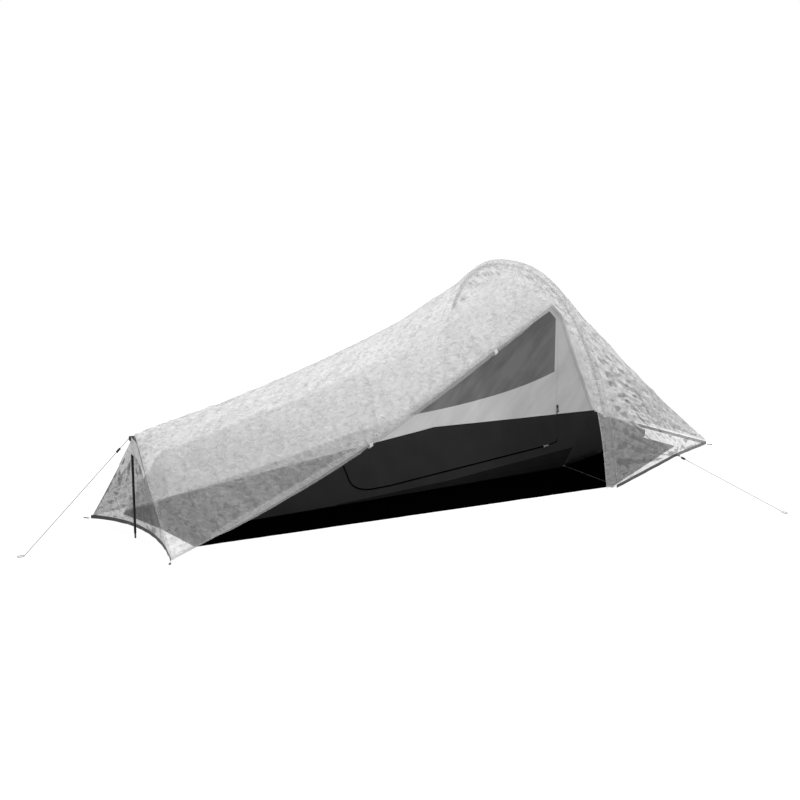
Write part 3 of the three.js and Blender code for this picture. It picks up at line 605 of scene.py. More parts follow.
def grid_sheet(name: str, points: Array, wrap: bool = False) -> bpy.types.Object:
    """A single sheet of quads.

    Args:
        name: The piece's name.
        points: Places in metres, shaped (rows, columns, 3).
        wrap: Whether the last column joins the first, as round a tube.

    Returns:
        The new object, with a UV map in metres along the sheet.
    """
    rows, columns = points.shape[:2]
    number = np.arange(rows * columns).reshape(rows, columns)
    right = np.roll(number, -1, axis=1) if wrap else number[:, 1:]
    left = number if wrap else number[:, :-1]
    faces = np.stack([left[:-1], right[:-1], right[1:], left[1:]], axis=-1).reshape(-1, 4)
    mesh = bpy.data.meshes.new(name)
    mesh.from_pydata(points.reshape(-1, 3).tolist(), [], faces.tolist())
    steps_u = np.linalg.norm(np.diff(points, axis=0), axis=2).mean(axis=1)
    steps_v = np.linalg.norm(np.diff(points, axis=1), axis=2).mean(axis=0)
    along = np.concatenate([[0.0], np.cumsum(steps_u)])
    across = np.concatenate([[0.0], np.cumsum(steps_v)])
    spots = np.stack(np.meshgrid(along, across, indexing="ij"), axis=-1).reshape(-1, 2)
    layer = mesh.uv_layers.new(name="UVMap")
    corners = np.zeros(len(mesh.loops), dtype=np.int32)
    mesh.loops.foreach_get("vertex_index", corners)
    layer.data.foreach_set("uv", spots[corners].astype(np.float32).ravel())
    mesh.validate()
    piece = link(name, mesh)
    smooth(piece)
    return piece


def normals_of(points: Array) -> Array:
    """Unit normals of a grid of points.

    Args:
        points: Places in metres, shaped (rows, columns, 3).

    Returns:
        One unit vector per point.
    """
    du = np.gradient(points, axis=0)
    dv = np.gradient(points, axis=1)
    normal = np.cross(du, dv)
    size = np.linalg.norm(normal, axis=2, keepdims=True)
    return normal / np.maximum(size, 1e-12)


def ripple(points: Array, size: float, seed: int, stretch: Sequence[float] = (1.0, 1.0, 1.0),
           waves: int = 28) -> Array:
    """A smooth random field of about unit height.

    Args:
        points: Places in metres, the last axis holding x, y and z.
        size: The ripples' usual width in metres.
        seed: Which field.
        stretch: How much longer the ripples are along each axis.
        waves: How many plane waves add up.

    Returns:
        One value per place.
    """
    draw = np.random.RandomState(seed)
    total = np.zeros(points.shape[:-1])
    for _ in range(waves):
        way = draw.normal(size=3)
        way = way / np.linalg.norm(way) / np.array(stretch)
        turn = 2 * math.pi / (size * draw.uniform(0.7, 1.6))
        total += np.cos(points @ way * turn + draw.uniform(0, 2 * math.pi))
    return total / math.sqrt(waves / 2)


def creases(points: Array, size: float, seed: int, stretch: Sequence[float] = (1.0, 1.0, 1.0)) -> Array:
    """Like ripple, with sharp ridges, as in crumpled film."""
    return 0.8 - np.abs(ripple(points, size, seed, stretch))


def fan(points: Array, apex: Vector, seed: int, low: int = 16, high: int = 46, reach: float = 0.5) -> Array:
    """Folds that run out from a point which pulls on the sheet.

    Args:
        points: Places in metres.
        apex: The point that pulls.
        seed: Which folds.
        low: Fewest folds in a full turn.
        high: Most folds in a full turn.
        reach: How far the folds run, in metres.

    Returns:
        One value per place, about 1 high near the apex.
    """
    away = points - np.array(apex)
    distance = np.linalg.norm(away, axis=-1)
    middle = away.reshape(-1, 3).mean(axis=0)
    first = middle / np.linalg.norm(middle)
    normal = np.cross(first, away.reshape(-1, 3)[0])
    normal = normal / max(np.linalg.norm(normal), 1e-9)
    second = np.cross(normal, first)
    angle = np.arctan2(away @ second, away @ first)
    draw = np.random.RandomState(seed)
    total = np.zeros(points.shape[:-1])
    count = 7
    for _ in range(count):
        total += np.cos(draw.uniform(low, high) * angle + draw.uniform(0, 2 * math.pi))
    fade = np.exp(-((distance / reach) ** 2)) * np.clip(distance / (0.5 * reach), 0, 1) ** 1.5
    return total / math.sqrt(count / 2) * fade


def edge_fade(rows: int, columns: int, margin: int) -> Array:
    """A weight that falls to nothing at a grid's four edges.

    Args:
        rows: How many rows the grid has.
        columns: How many columns it has.
        margin: How many points the fall takes.

    Returns:
        One weight per point, 1 inside the margin.
    """
    def side(count: int) -> Array:
        """Weight along one side."""
        steps = np.arange(count)
        return np.clip(np.minimum(steps, count - 1 - steps) / margin, 0, 1)
    return np.outer(side(rows), side(columns))


def baked_slope_shade(flat: Array, shaped: Array) -> Array:
    """How steeply a sheet's folds rise along one fixed slant of its grid, from 0 to 1, with 0.5 where it lies
    flat; the film darkens by it as painted shade, as if lit from one side.

    Args:
        flat: The sheet before it was folded.
        shaped: The same grid as it hangs.

    Returns:
        One value per point.
    """
    height = ((shaped - flat) * normals_of(flat)).sum(axis=-1)
    along = np.gradient(height, axis=0)
    across = np.gradient(height, axis=1)
    step_along = np.linalg.norm(np.gradient(flat, axis=0), axis=-1)
    step_across = np.linalg.norm(np.gradient(flat, axis=1), axis=-1)
    slope = 0.6 * along / np.maximum(step_along, 1e-4) + across / np.maximum(step_across, 1e-4)
    return np.clip(0.5 + 2.6 * slope, 0.0, 1.0)


def store(piece: bpy.types.Object, name: str, values: Array) -> None:
    """Keep one value per point on a piece, for its material to read."""
    layer = piece.data.attributes.new(name, "FLOAT", "POINT")
    layer.data.foreach_set("value", values.astype(np.float32).ravel())


def area_of(points: Array) -> float:
    """Area of a grid of points, in square metres.

    Args:
        points: Places in metres, shaped (rows, columns, 3).

    Returns:
        The area.
    """
    du = points[1:, :-1] - points[:-1, :-1]
    dv = points[:-1, 1:] - points[:-1, :-1]
    return float(np.linalg.norm(np.cross(du, dv), axis=2).sum())


def mesh_area(piece: bpy.types.Object) -> float:
    """Total face area of a piece, in square metres."""
    return sum(face.area for face in piece.data.polygons)


@dataclass
class Report:
    """Collects what each sheet measures, for the log."""

    count: int = 0

    def sheet(self, piece: bpy.types.Object, area: float, length: float, held: str,
              rests_on: Iterable[str] = ()) -> None:
        """Log a sheet of cloth from its flat area and its longest side.

        Args:
            piece: The sheet.
            area: The flat cut's area in square metres.
            length: The flat cut's length in metres.
            held: How the sheet is held; not used.
            rests_on: The nodes that it hangs from or lies on; not used.
        """
        width = round(max(area / length * 1.12, 0.012), 3)
        length = round(length, 3)
        self.done(piece, f"sheet {width} x {length} m, {area:.3f} m2")

    def cut(self, piece: bpy.types.Object, flat: tuple[float, float], area: float, held: str,
            rests_on: Iterable[str] = ()) -> None:
        """Log a sheet of cloth whose flat cut fits in a rectangle.

        Args:
            piece: The sheet.
            flat: The rectangle's width and length in metres.
            area: The flat cut's own area in square metres.
            held: How the sheet is held; not used.
            rests_on: The nodes that it hangs from or lies on; not used.
        """
        width, length = (round(max(side, 0.012), 3) for side in sorted(flat))
        area = round(min(area, width * length), 4)
        self.done(piece, f"sheet {width} x {length} m, {area:.3f} m2")

    def done(self, piece: bpy.types.Object, words: str = "") -> None:
        """Log one finished piece."""
        self.count += 1
        LOG.info("%03d %s %s", self.count, piece.name, words)


def finish_piece(piece: bpy.types.Object, body: str, material: bpy.types.Material,
                 replaced: Iterable[str] = ()) -> bpy.types.Object:
    """Dress a new piece, put it on its body and hide the nodes that it stands for.

    Args:
        piece: The new piece.
        body: The body that it moves with.
        material: Its material.
        replaced: The nodes that it stands for.

    Returns:
        The piece.
    """
    put_material(piece, material)
    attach(piece, body)
    nodes = list(replaced)
    if nodes:
        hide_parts(*nodes)
    return piece


def hard_piece(name: str, matrix: Matrix, bevel: float) -> bpy.types.Object:
    """Name the piece that was just added, place it in its own mesh and round its edges.

    Args:
        name: The piece's name.
        matrix: Its size and place.
        bevel: The rounding's width in metres.

    Returns:
        The piece, unturned and unscaled at the origin.
    """
    piece = bpy.context.active_object
    piece.name = name
    piece.data.transform(matrix)
    piece.data.update()
    rounding = piece.modifiers.new("rounding", "BEVEL")
    rounding.width = bevel
    rounding.segments = 3
    rounding.limit_method = "ANGLE"
    smooth(piece)
    bpy.ops.object.shade_smooth_by_angle(angle=math.radians(40))
    return piece


def hard_box(name: str, size: Sequence[float], matrix: Matrix, bevel: float = 0.0005) -> bpy.types.Object:
    """A box with rounded edges, size metres along its own axes.

    Args:
        name: The piece's name.
        size: Its three sides in metres.
        matrix: Its turn and place.
        bevel: The rounding's width in metres.

    Returns:
        The piece.
    """
    bpy.ops.object.select_all(action="DESELECT")
    bpy.ops.mesh.primitive_cube_add(size=1.0)
    return hard_piece(name, matrix @ Matrix.Diagonal((*size, 1.0)), bevel)


def hard_rod(name: str, radius: float, length: float, matrix: Matrix,
             bevel: float = 0.0005) -> bpy.types.Object:
    """A round rod along its own z axis, with rounded ends.

    Args:
        name: The piece's name.
        radius: Its radius in metres.
        length: Its length in metres.
        matrix: Its turn and place.
        bevel: The rounding's width in metres.

    Returns:
        The piece.
    """
    bpy.ops.object.select_all(action="DESELECT")
    bpy.ops.mesh.primitive_cylinder_add(vertices=28, radius=radius, depth=length)
    return hard_piece(name, matrix, bevel)


def hard_ring(name: str, major: float, minor: float, matrix: Matrix) -> bpy.types.Object:
    """A ring round its own z axis.

    Args:
        name: The piece's name.
        major: The ring's radius to the middle of its wire, in metres.
        minor: The wire's radius in metres.
        matrix: Its turn and place.

    Returns:
        The piece.
    """
    bpy.ops.object.select_all(action="DESELECT")
    bpy.ops.mesh.primitive_torus_add(major_radius=major, minor_radius=minor, major_segments=28,
                                     minor_segments=10)
    return hard_piece(name, matrix, 0.0001)


def frame_at(place: Sequence[float], along: Sequence[float], up: Sequence[float]) -> Matrix:
    """A placing matrix whose x runs along and whose z is near up.

    Args:
        place: Where the frame stands.
        along: The way that its x axis points.
        up: The way that its z axis leans to.

    Returns:
        The frame.
    """
    first = Vector(along).normalized()
    second = Vector(up).cross(first).normalized()
    third = first.cross(second)
    turn = Matrix((first, second, third)).transposed().to_4x4()
    return Matrix.Translation(Vector(place)) @ turn


def dashes(name: str, line: Array, out: Array, pitch: float, size: Sequence[float]) -> bpy.types.Object:
    """Many small boxes along a line, as stitches or zip teeth.

    Args:
        name: The piece's name.
        line: Points along the middle, shaped (count, 3).
        out: The direction away from the cloth at each point.
        pitch: The distance between boxes.
        size: Each box's length, width and height in metres.

    Returns:
        One piece that holds every box.
    """
    steps = np.linalg.norm(np.diff(line, axis=0), axis=1)
    run = np.concatenate([[0.0], np.cumsum(steps)])
    stops = np.arange(pitch / 2, run[-1], pitch)
    corners = np.array([(x, y, z) for x in (-0.5, 0.5) for y in (-0.5, 0.5) for z in (-0.5, 0.5)])
    box_faces = np.array([(0, 1, 3, 2), (4, 6, 7, 5), (0, 4, 5, 1), (2, 3, 7, 6), (0, 2, 6, 4), (1, 5, 7, 3)])
    spots, faces = [], []
    for stop in stops:
        here = np.array([np.interp(stop, run, line[:, k]) for k in range(3)])
        ahead = np.array([np.interp(stop + 1e-3, run, line[:, k]) for k in range(3)]) - here
        behind = here - np.array([np.interp(stop - 1e-3, run, line[:, k]) for k in range(3)])
        along = ahead + behind
        along /= max(np.linalg.norm(along), 1e-9)
        up = np.array([np.interp(stop, run, out[:, k]) for k in range(3)])
        up -= along * (up @ along)
        up /= max(np.linalg.norm(up), 1e-9)
        side = np.cross(up, along)
        turned = corners * np.array(size)
        faces.extend((box_faces + len(spots) * 8).tolist())
        spots.append(here + turned[:, :1] * along + turned[:, 1:2] * side + turned[:, 2:] * up)
    mesh = bpy.data.meshes.new(name)
    mesh.from_pydata(np.concatenate(spots).tolist(), [], faces)
    mesh.validate()
    return link(name, mesh)


# ---- The form of the fly ---------------------------------------------------------------


@dataclass
class FlyForm:
    """The fly's shape: cross-sections that turn from a low tent shape at the foot to the hoop."""

    head_x: float = 1.365
    hoop_from_foot: float = 1.9
    hoop_half: float = 0.56
    hoop_height: float = 0.878
    hoop_lean: float = 0.104
    hoop_roundness: float = 0.86
    foot_half: float = 0.32
    foot_height: float = 0.387
    foot_lean: float = 0.04
    foot_roundness: float = 1.6
    foot_pinch: float = 0.45
    foot_pinch_fade: float = 14.0
    head_half: float = 0.28
    ridge_sweep: float = 0.35
    ridge_power: float = 3.5
    sleeve_share: float = 0.972
    hem: float = 0.012
    seam_height: float = 0.64
    pull_out_from_hoop: float = 0.34
    pull_out_height: float = 0.08
    head_edge: float = 0.02

    @classmethod
    def from_frame(cls) -> "FlyForm":
        """Take the overall sizes from the frame's nodes.

        Returns:
            The form.
        """
        band_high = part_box("fly_hoop_band")[1]
        head_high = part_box("fly_head_roof")[1]
        return cls(head_x=head_high.x, hoop_half=band_high.y, hoop_height=band_high.z)

    @property
    def foot_x(self) -> float:
        """Where the foot hem's corners are."""
        return -self.head_x

    @property
    def hoop_x(self) -> float:
        """Where the hoop's feet are."""
        return self.foot_x + self.hoop_from_foot

    def ridge(self, u: Array) -> Array:
        """Height of the ridge, from the foot (0) to the hoop (1)."""
        rise = (1 - self.ridge_sweep) * u + self.ridge_sweep * u**self.ridge_power
        return self.foot_height + (self.hoop_height - self.foot_height) * rise

    def roundness(self, u: Array) -> Array:
        """Exponent of the cross-section."""
        plain = self.foot_roundness + (self.hoop_roundness - self.foot_roundness) * np.sqrt(u)
        return plain + self.foot_pinch * np.exp(-self.foot_pinch_fade * u)

    def point(self, u: Array, angle: Array, depth: float | Array = 0.0) -> Array:
        """Places on the fly.

        Args:
            u: From the foot (0) to the hoop (1).
            angle: From the near ground (0) over the ridge to the far ground (pi).
            depth: How far inside the fly's outer face.

        Returns:
            The places, with x, y and z on the last axis.
        """
        u, angle = np.broadcast_arrays(np.asarray(u, float), np.asarray(angle, float))
        half = self.foot_half + (self.hoop_half - self.foot_half) * u - depth
        height = self.ridge(u) - depth
        power = self.roundness(u)
        cosine = np.cos(angle)
        y = -half * np.sign(cosine) * np.abs(cosine) ** power
        z = height * np.abs(np.sin(angle)) ** power
        lean = self.foot_lean + (-self.hoop_lean - self.foot_lean) * u
        x = self.foot_x + self.hoop_from_foot * u + lean * z / height
        return np.stack([x, y, z], axis=-1)

    def angle_at(self, u: Array, z: Array) -> Array:
        """The near side's angle at a height."""
        u = np.asarray(u, float)
        return np.arcsin(np.clip(z / self.ridge(u), 0, 1) ** (1 / self.roundness(u)))

    def door_angle(self, u: Array) -> Array:
        """Angle of the door's free edge."""
        u = np.asarray(u, float)
        return self.angle_at(u, self.hem / 3 + self.hoop_height * (0.67 * u + 0.2 * u * u))

    def head_hem(self, u: Array) -> Array:
        """The near head hem: hoop foot (0), pull-out (a half), head corner (1).

        Args:
            u: The share of the way from the hoop to the head.

        Returns:
            One place per share.
        """
        u = np.asarray(u, float)
        x = [self.hoop_x, self.hoop_x + self.pull_out_from_hoop, self.head_x]
        y = [-self.hoop_half, -self.hoop_half, -self.head_half]
        z = [0.0, self.pull_out_height, 0.0]
        return np.stack([np.interp(u, [0, 0.5, 1], side) for side in (x, y, z)], axis=-1)

    def foot_hem(self, across: Array) -> Array:
        """The foot hem from the near corner (-1) to the far corner (1).

        Args:
            across: The share of the half width, below 0 on the near side.

        Returns:
            One place per share.
        """
        across = np.asarray(across, float)
        bow = 1 - across * across
        return np.stack([self.foot_x + 0.06 * bow, across * self.foot_half, 0.02 * bow], axis=-1)


def lerp(a: Array, b: Array, share: Array) -> Array:
    """Between two values."""
    return a + (b - a) * share


# Each layer of creases: its height and size in metres, its seed's offset and how it is stretched.
CRINKLE = (
    (0.0022, 0.085, 0, (1.0, 2.0, 1.4)),
    (0.0011, 0.042, 1, (2.0, 1.0, 1.2)),
    (0.0006, 0.026, 3, (1.6, 1.0, 1.0)),
)


@dataclass
class FlySkin:
    """The fly's film panels, their seams and hems."""

    form: FlyForm
    finishes: Finishes
    report: Report
    clear: float = 0.0005
    foot_span: float = 0.985
    head_grid: tuple[int, int, int] = (170, 130, 190)
    hem_points: int = 120
    wave_height: float = 0.002
    wave_size: float = 0.32
    pocket_width: float = 0.014
    patch_front: float = 0.0035
    strut_cover: float = 0.0015

    def crinkled(self, points: Array, seed: int) -> Array:
        """Film that has been folded and packed: creases of two sizes over a soft wave.

        Args:
            points: The panel before it was crinkled.
            seed: Which creases.

        Returns:
            The panel as it hangs.
        """
        rows, columns = points.shape[:2]
        fade = 0.05 + 0.95 * edge_fade(rows, columns, 7)
        push = np.zeros((rows, columns))
        for height, size, offset, stretch in CRINKLE:
            push += height * creases(points, size, seed + offset, stretch)
        push += self.wave_height * ripple(points, self.wave_size, seed + 2)
        return points + normals_of(points) * (push * fade)[..., None]

    def build(self) -> None:
        """Make every panel."""
        self.sides()
        self.band()
        self.foot_panel()
        self.head()
        self.seams()
        self.hems()

    def panel(self, name: str, flat_points: Array, shaped: Array, flip: bool = False) -> bpy.types.Object:
        """Make one panel and log its cut.

        Args:
            name: The node that the panel stands for.
            flat_points: The panel before it was crinkled, which gives the cut's size.
            shaped: The panel as it hangs.
            flip: Whether its columns run the other way, so that its outer face still faces out.

        Returns:
            The new piece.
        """
        film = self.finishes.film
        # The head and foot panels take darker copies of the film: painted shade.
        if name.startswith("fly_head"):
            film = self.finishes.film_head_shaded
        if name == "fly_foot_panel":
            film = self.finishes.film_foot_shaded
        shown = shaped[:, ::-1] if flip else shaped
        piece = grid_sheet(f"{name}_cloth", shown)
        # The fold slope stored here is the film's painted shade.
        slope_shade = baked_slope_shade(flat_points, shaped)
        store(piece, FOLD_SLOPE_SHADE, slope_shade[:, ::-1] if flip else slope_shade)
        finish_piece(piece, TENT, film, [name])
        down = float(np.linalg.norm(np.diff(flat_points, axis=0), axis=2).sum(axis=0).max())
        across = float(np.linalg.norm(np.diff(flat_points, axis=1), axis=2).sum(axis=1).max())
        self.report.cut(piece, (down, across), area_of(flat_points), "stretched", ["hoop_sleeve"])
        return piece

    def sides(self) -> None:
        """The two long side panels, which meet at the ridge."""
        u = np.linspace(0, self.form.sleeve_share, 370)[:, None]
        near_edge = self.form.door_angle(u)
        v = np.linspace(0, 1, 150)[None, :]
        near = self.form.point(u, lerp(near_edge, math.pi / 2, v), self.clear)
        shaped = self.crinkled(near, 11)
        self.panel("fly_side_near", near, shaped)
        far_edge = math.pi - self.form.angle_at(u, self.form.hem)
        v = np.linspace(0, 1, 190)[None, :]
        far = self.form.point(u, lerp(math.pi / 2, far_edge, v), self.clear)
        self.panel("fly_side_far", far, self.crinkled(far, 21))

    def band(self) -> None:
        """The strip of fly over the hoop, gathered slightly by the pole's sleeve."""
        u = np.linspace(self.form.sleeve_share, 1.0, 9)[:, None]
        start = float(self.form.angle_at(1.0, 0.004))
        angle = np.linspace(start, math.pi - start, 330)[None, :]
        band = self.form.point(u, angle, self.clear)
        push = 0.0022 * creases(band, 0.05, 31, (2.5, 1.0, 1.0)) * edge_fade(*band.shape[:2], 2)
        self.panel("fly_hoop_band", band, band + normals_of(band) * push[..., None])

    def foot_panel(self) -> None:
        """The end wall at the foot, with folds that run down from the strut's head."""
        across = np.linspace(-self.foot_span, self.foot_span, self.hem_points)[:, None]
        v = np.linspace(0, 1, 80)[None, :]
        angle = np.arccos(np.abs(across) ** (1 / float(self.form.roundness(np.array(0.0)))))
        top = self.form.point(np.zeros_like(across), angle)
        top[..., 1] = across * self.form.foot_half
        hem = self.form.foot_hem(across)
        hem[..., 2] += self.form.hem
        points = lerp(hem, top, v[..., None])
        apex = Vector((self.form.foot_x + self.form.foot_lean, 0.0, self.form.foot_height))
        fade = edge_fade(*points.shape[:2], 5)
        push = 0.0022 * fan(points, apex, 41, 20, 44, 0.28) * fade
        shaped = self.crinkled(points, 43) + normals_of(points) * push[..., None]
        self.panel("fly_foot_panel", points, shaped)
        self.strut_patch(points)

    def strut_patch(self, points: Array) -> None:
        """The doubled patch at the foot panel's peak, with a pocket that takes the strut's head.

        Args:
            points: The foot panel's own grid, which the patch follows.
        """
        rows, columns = points.shape[:2]
        middle, half = rows // 2, int(rows * 0.16)
        top = points[middle - half:middle + half + 1, int(columns * 0.8):]
        strut_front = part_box("foot_strut")[0].x - self.strut_cover
        over_strut = np.exp(-((top[..., 1] / self.pocket_width) ** 2))
        flat_front = top[..., 0] - self.patch_front
        pocket = top.copy()
        pocket[..., 0] = lerp(flat_front, np.minimum(flat_front, strut_front), over_strut)
        piece = grid_sheet("fly_foot_patch", pocket)
        finish_piece(piece, TENT, self.finishes.film_sleeve)
        self.report.done(piece)

    def head_side(self, side: int) -> Array:
        """One head side panel, on the near (-1) or the far (1) side.

        Args:
            side: Which side of the tent it is on.

        Returns:
            The panel's grid.
        """
        form = self.form
        u = np.linspace(0, 1, self.head_grid[0])[:, None]
        v = np.linspace(0, 1, self.head_grid[1])[None, :]
        low = float(form.angle_at(1.0, form.hem))
        high = float(form.angle_at(1.0, form.seam_height))
        hem = form.head_hem(u) + np.array([0, 0, form.hem])
        corner = np.array([form.head_x, -form.head_half, form.head_edge])
        seam = lerp(form.point(1.0, high), corner, u[..., None])
        points = lerp(hem, seam, v[..., None])
        arch = form.point(1.0, lerp(low, high, v))
        chord = lerp(form.point(1.0, low), form.point(1.0, high), v[..., None])
        points = points + (arch - chord) * ((1 - u) ** 1.5)[..., None]
        points[..., 1] *= -side
        return points

    def head(self) -> None:
        """The three head panels, pulled into folds by the corners and the pull-outs."""
        form = self.form
        for name, side, seed in (("fly_head_near", -1, 51), ("fly_head_far", 1, 61)):
            points = self.head_side(side)
            pull_out = Vector(form.head_hem(0.5))
            pull_out.y *= -side
            corner = Vector((form.head_x, side * form.head_half, form.head_edge))
            fade = edge_fade(*points.shape[:2], 6)
            push = 0.0028 * fan(points, pull_out, seed, 18, 44, 0.34)
            push += 0.0036 * fan(points, corner, seed + 1, 20, 56, 0.6)
            push += 0.0018 * creases(points, 0.06, seed + 2, (2.4, 1.0, 1.0))
            shaped = self.crinkled(points, seed + 3) + normals_of(points) * (push * fade)[..., None]
            self.panel(name, points, shaped, flip=side > 0)
        u = np.linspace(0, 1, self.head_grid[0])[:, None]
        high = float(form.angle_at(1.0, form.seam_height))
        v = np.linspace(0, 1, self.head_grid[2])[None, :]
        arch = form.point(1.0, lerp(high, math.pi - high, v))
        end = np.stack([np.full_like(v, form.head_x), lerp(-form.head_half, form.head_half, v),
                        np.full_like(v, form.head_edge)], axis=-1)
        points = lerp(arch, end, u[..., None])
        fade = edge_fade(*points.shape[:2], 6)
        push = np.zeros(points.shape[:2])
        for k, side in enumerate((-1, 1)):
            corner = Vector((form.head_x, side * form.head_half, form.head_edge))
            push += 0.0034 * fan(points, corner, 71 + k, 20, 52, 0.55)
        shaped = self.crinkled(points, 75) + normals_of(points) * (push * fade)[..., None]
        self.panel("fly_head_roof", points, shaped)

    def ribbon(self, name: str, line: Array, across: Array, width: float, lift: Array,
               material: bpy.types.Material) -> bpy.types.Object:
        """A flat tape along a line, which moves with the tent.

        Args:
            name: The piece's name.
            line: Points along the tape's middle, shaped (count, 3).
            across: Unit directions across the tape at each point.
            width: The tape's width in metres.
            lift: Offsets that hold the tape clear of what it is sewn to.
            material: Its material.

        Returns:
            The new piece.
        """
        shares = np.linspace(-0.5, 0.5, 5)
        crown = 0.0004 * (1 - (2 * shares) ** 2)
        rows = [line + across * width * s + lift * (1 + c / 0.001) for s, c in zip(shares, crown)]
        piece = grid_sheet(name, np.stack(rows, axis=1))
        finish_piece(piece, TENT, material)
        self.report.done(piece)
        return piece

    def seams(self) -> None:
        """Taped seams beside the hoop, down the head corners and along the door's edge."""
        form = self.form
        angle = np.linspace(0.03, math.pi - 0.03, 300)
        for name, u in (("seam_hoop_foot_side", form.sleeve_share), ("seam_hoop_head_side", 0.999)):
            line = form.point(u, angle)
            out = form.point(u, angle, -0.0016) - line
            self.ribbon(name, line, np.tile([1.0, 0, 0], (len(line), 1)), 0.006, out,
                        self.finishes.film_double)
        high = float(form.angle_at(1.0, form.seam_height))
        start = form.point(1.0, high)
        for name, side in (("seam_head_near", 1), ("seam_head_far", -1)):
            first = start * np.array([1, side, 1])
            last = np.array([form.head_x, -form.head_half * side, form.head_edge])
            line = lerp(first, last, np.linspace(0.004, 1, 120)[:, None])
            out = np.tile(np.array([0.5, -0.7 * side, 0.55]) * 0.0022, (len(line), 1))
            across = np.tile(np.array([-0.1, -0.62 * side, -0.78]), (len(line), 1))
            self.ribbon(name, line, across, 0.005, out, self.finishes.film_double)
        u = np.linspace(0.004, form.sleeve_share - 0.004, 240)
        edge = form.door_angle(u)
        line = form.point(u, edge + 0.012)
        upward = form.point(u, edge + 0.03) - line
        upward /= np.linalg.norm(upward, axis=1, keepdims=True)
        out = form.point(u, edge + 0.012, -0.0018) - line
        self.ribbon("fly_door_edge_tape", line, upward, 0.008, out, self.finishes.film_double)
        angle = np.linspace(0.12, math.pi / 2 - 0.02, 60)
        near = form.point(0.0, angle)
        back = np.tile([1.0, 0.0, 0.0], (len(near), 1))
        out = form.point(0.0, angle, -0.0016) - near
        self.ribbon("seam_foot_near", near + back * 0.006, back, 0.012, out, self.finishes.film_double)

    def hems(self) -> None:
        """Grey binding along the foot hem and the head hem, each folded over the film's edge."""
        form = self.form
        foot = form.foot_hem(np.linspace(-self.foot_span, self.foot_span, self.hem_points))
        self.binding("fly_foot_hem", foot, np.array([-1.0, 0.0, 0.0]))
        u = np.linspace(0, 1, 90)
        near = form.head_hem(u)
        end = np.stack([np.full(40, form.head_x), np.linspace(-form.head_half, form.head_half, 40),
                        np.zeros(40)], axis=-1)[1:-1]
        far = near[::-1] * np.array([1, -1, 1])
        self.binding("fly_head_hem", np.concatenate([near, end, far]), None)

    def binding(self, node: str, line: Array, outward: Array | None) -> None:
        """A folded tape round a hem, with its rolled lower edge and a stitch line.

        Args:
            node: The hem that it stands for.
            line: Points along the hem.
            outward: The way that it faces, or None where that turns with the line.
        """
        height = self.form.hem + 0.002
        ahead = np.gradient(line, axis=0)
        ahead /= np.linalg.norm(ahead, axis=1, keepdims=True)
        if outward is None:
            out = np.stack([ahead[:, 1], -ahead[:, 0], np.zeros(len(line))], axis=-1)
        else:
            out = np.tile(outward, (len(line), 1))
        out /= np.maximum(np.linalg.norm(out, axis=1, keepdims=True), 1e-9)
        turn = np.linspace(0, 2 * math.pi, 18, endpoint=False)
        rings = []
        for t in turn:
            wide = 0.0021 * math.sin(t)
            tall = height * (0.5 + 0.5 * math.cos(t)) + 0.0004
            rings.append(line + out * wide + np.array([0, 0, 1.0]) * tall)
        points = np.stack(rings, axis=1)
        points += 0.0006 * ripple(points, 0.05, 81)[..., None] * out[:, None, :]
        piece = grid_sheet(f"{node}_tape", points, wrap=True)
        finish_piece(piece, TENT, self.finishes.webbing, [node])
        self.report.done(piece)
        thread_line = line + out * 0.0024 + np.array([0, 0, height * 0.8])
        thread = dashes(f"{node}_thread", thread_line, out, 0.006, (0.0038, 0.0006, 0.0005))
        finish_piece(thread, TENT, self.finishes.cord)
        self.report.done(thread)


# ---- Pole, sleeve, strut and rolled door -----------------------------------------------


def tube_points(line: Array, radius: Array | float, sides: int, flatten: float = 1.0) -> Array:
    """Rings of points round a line, closed to a near point at both ends.

    Args:
        line: Points along the tube's middle.
        radius: Its radius, or one radius per point.
        sides: How many points each ring has.
        flatten: The rings' height as a share of their width.

    Returns:
        The rings, shaped (points, sides, 3).
    """
    ahead = np.gradient(line, axis=0)
    ahead /= np.linalg.norm(ahead, axis=1, keepdims=True)
    side = np.cross(ahead, np.array([0.13, 0.07, 0.99]))
    small = np.linalg.norm(side, axis=1) < 1e-3
    side[small] = np.cross(ahead[small], np.array([1.0, 0.0, 0.0]))
    side /= np.linalg.norm(side, axis=1, keepdims=True)
    up = np.cross(side, ahead)
    turn = np.linspace(0, 2 * math.pi, sides, endpoint=False)
    radius = np.broadcast_to(np.asarray(radius, float), (len(line),))[:, None, None]
    sideways = side[:, None] * np.cos(turn)[None, :, None]
    upward = up[:, None] * np.sin(turn)[None, :, None] * flatten
    return line[:, None] + (sideways + upward) * radius


def cap_ends(piece: bpy.types.Object, turn_out: bool = False) -> None:
    """Close a tube's open ends and shade it smooth.

    Args:
        piece: The tube.
        turn_out: Whether to turn all its faces outward as well.
    """
    shape = bmesh.new()
    shape.from_mesh(piece.data)
    bmesh.ops.holes_fill(shape, edges=[edge for edge in shape.edges if edge.is_boundary], sides=0)
    if turn_out:
        bmesh.ops.recalc_face_normals(shape, faces=shape.faces)
    shape.to_mesh(piece.data)
    shape.free()
    smooth(piece)


def tube_piece(name: str, line: Array, radius: Array | float, sides: int) -> bpy.types.Object:
    """A closed tube along a line, with capped ends.

    Args:
        name: The piece's name.
        line: Points along the tube's middle.
        radius: Its radius, or one radius per point.
        sides: How many sides it has.

    Returns:
        The new piece.
    """
    piece = grid_sheet(name, tube_points(line, radius, sides), wrap=True)
    cap_ends(piece, turn_out=True)
    return piece


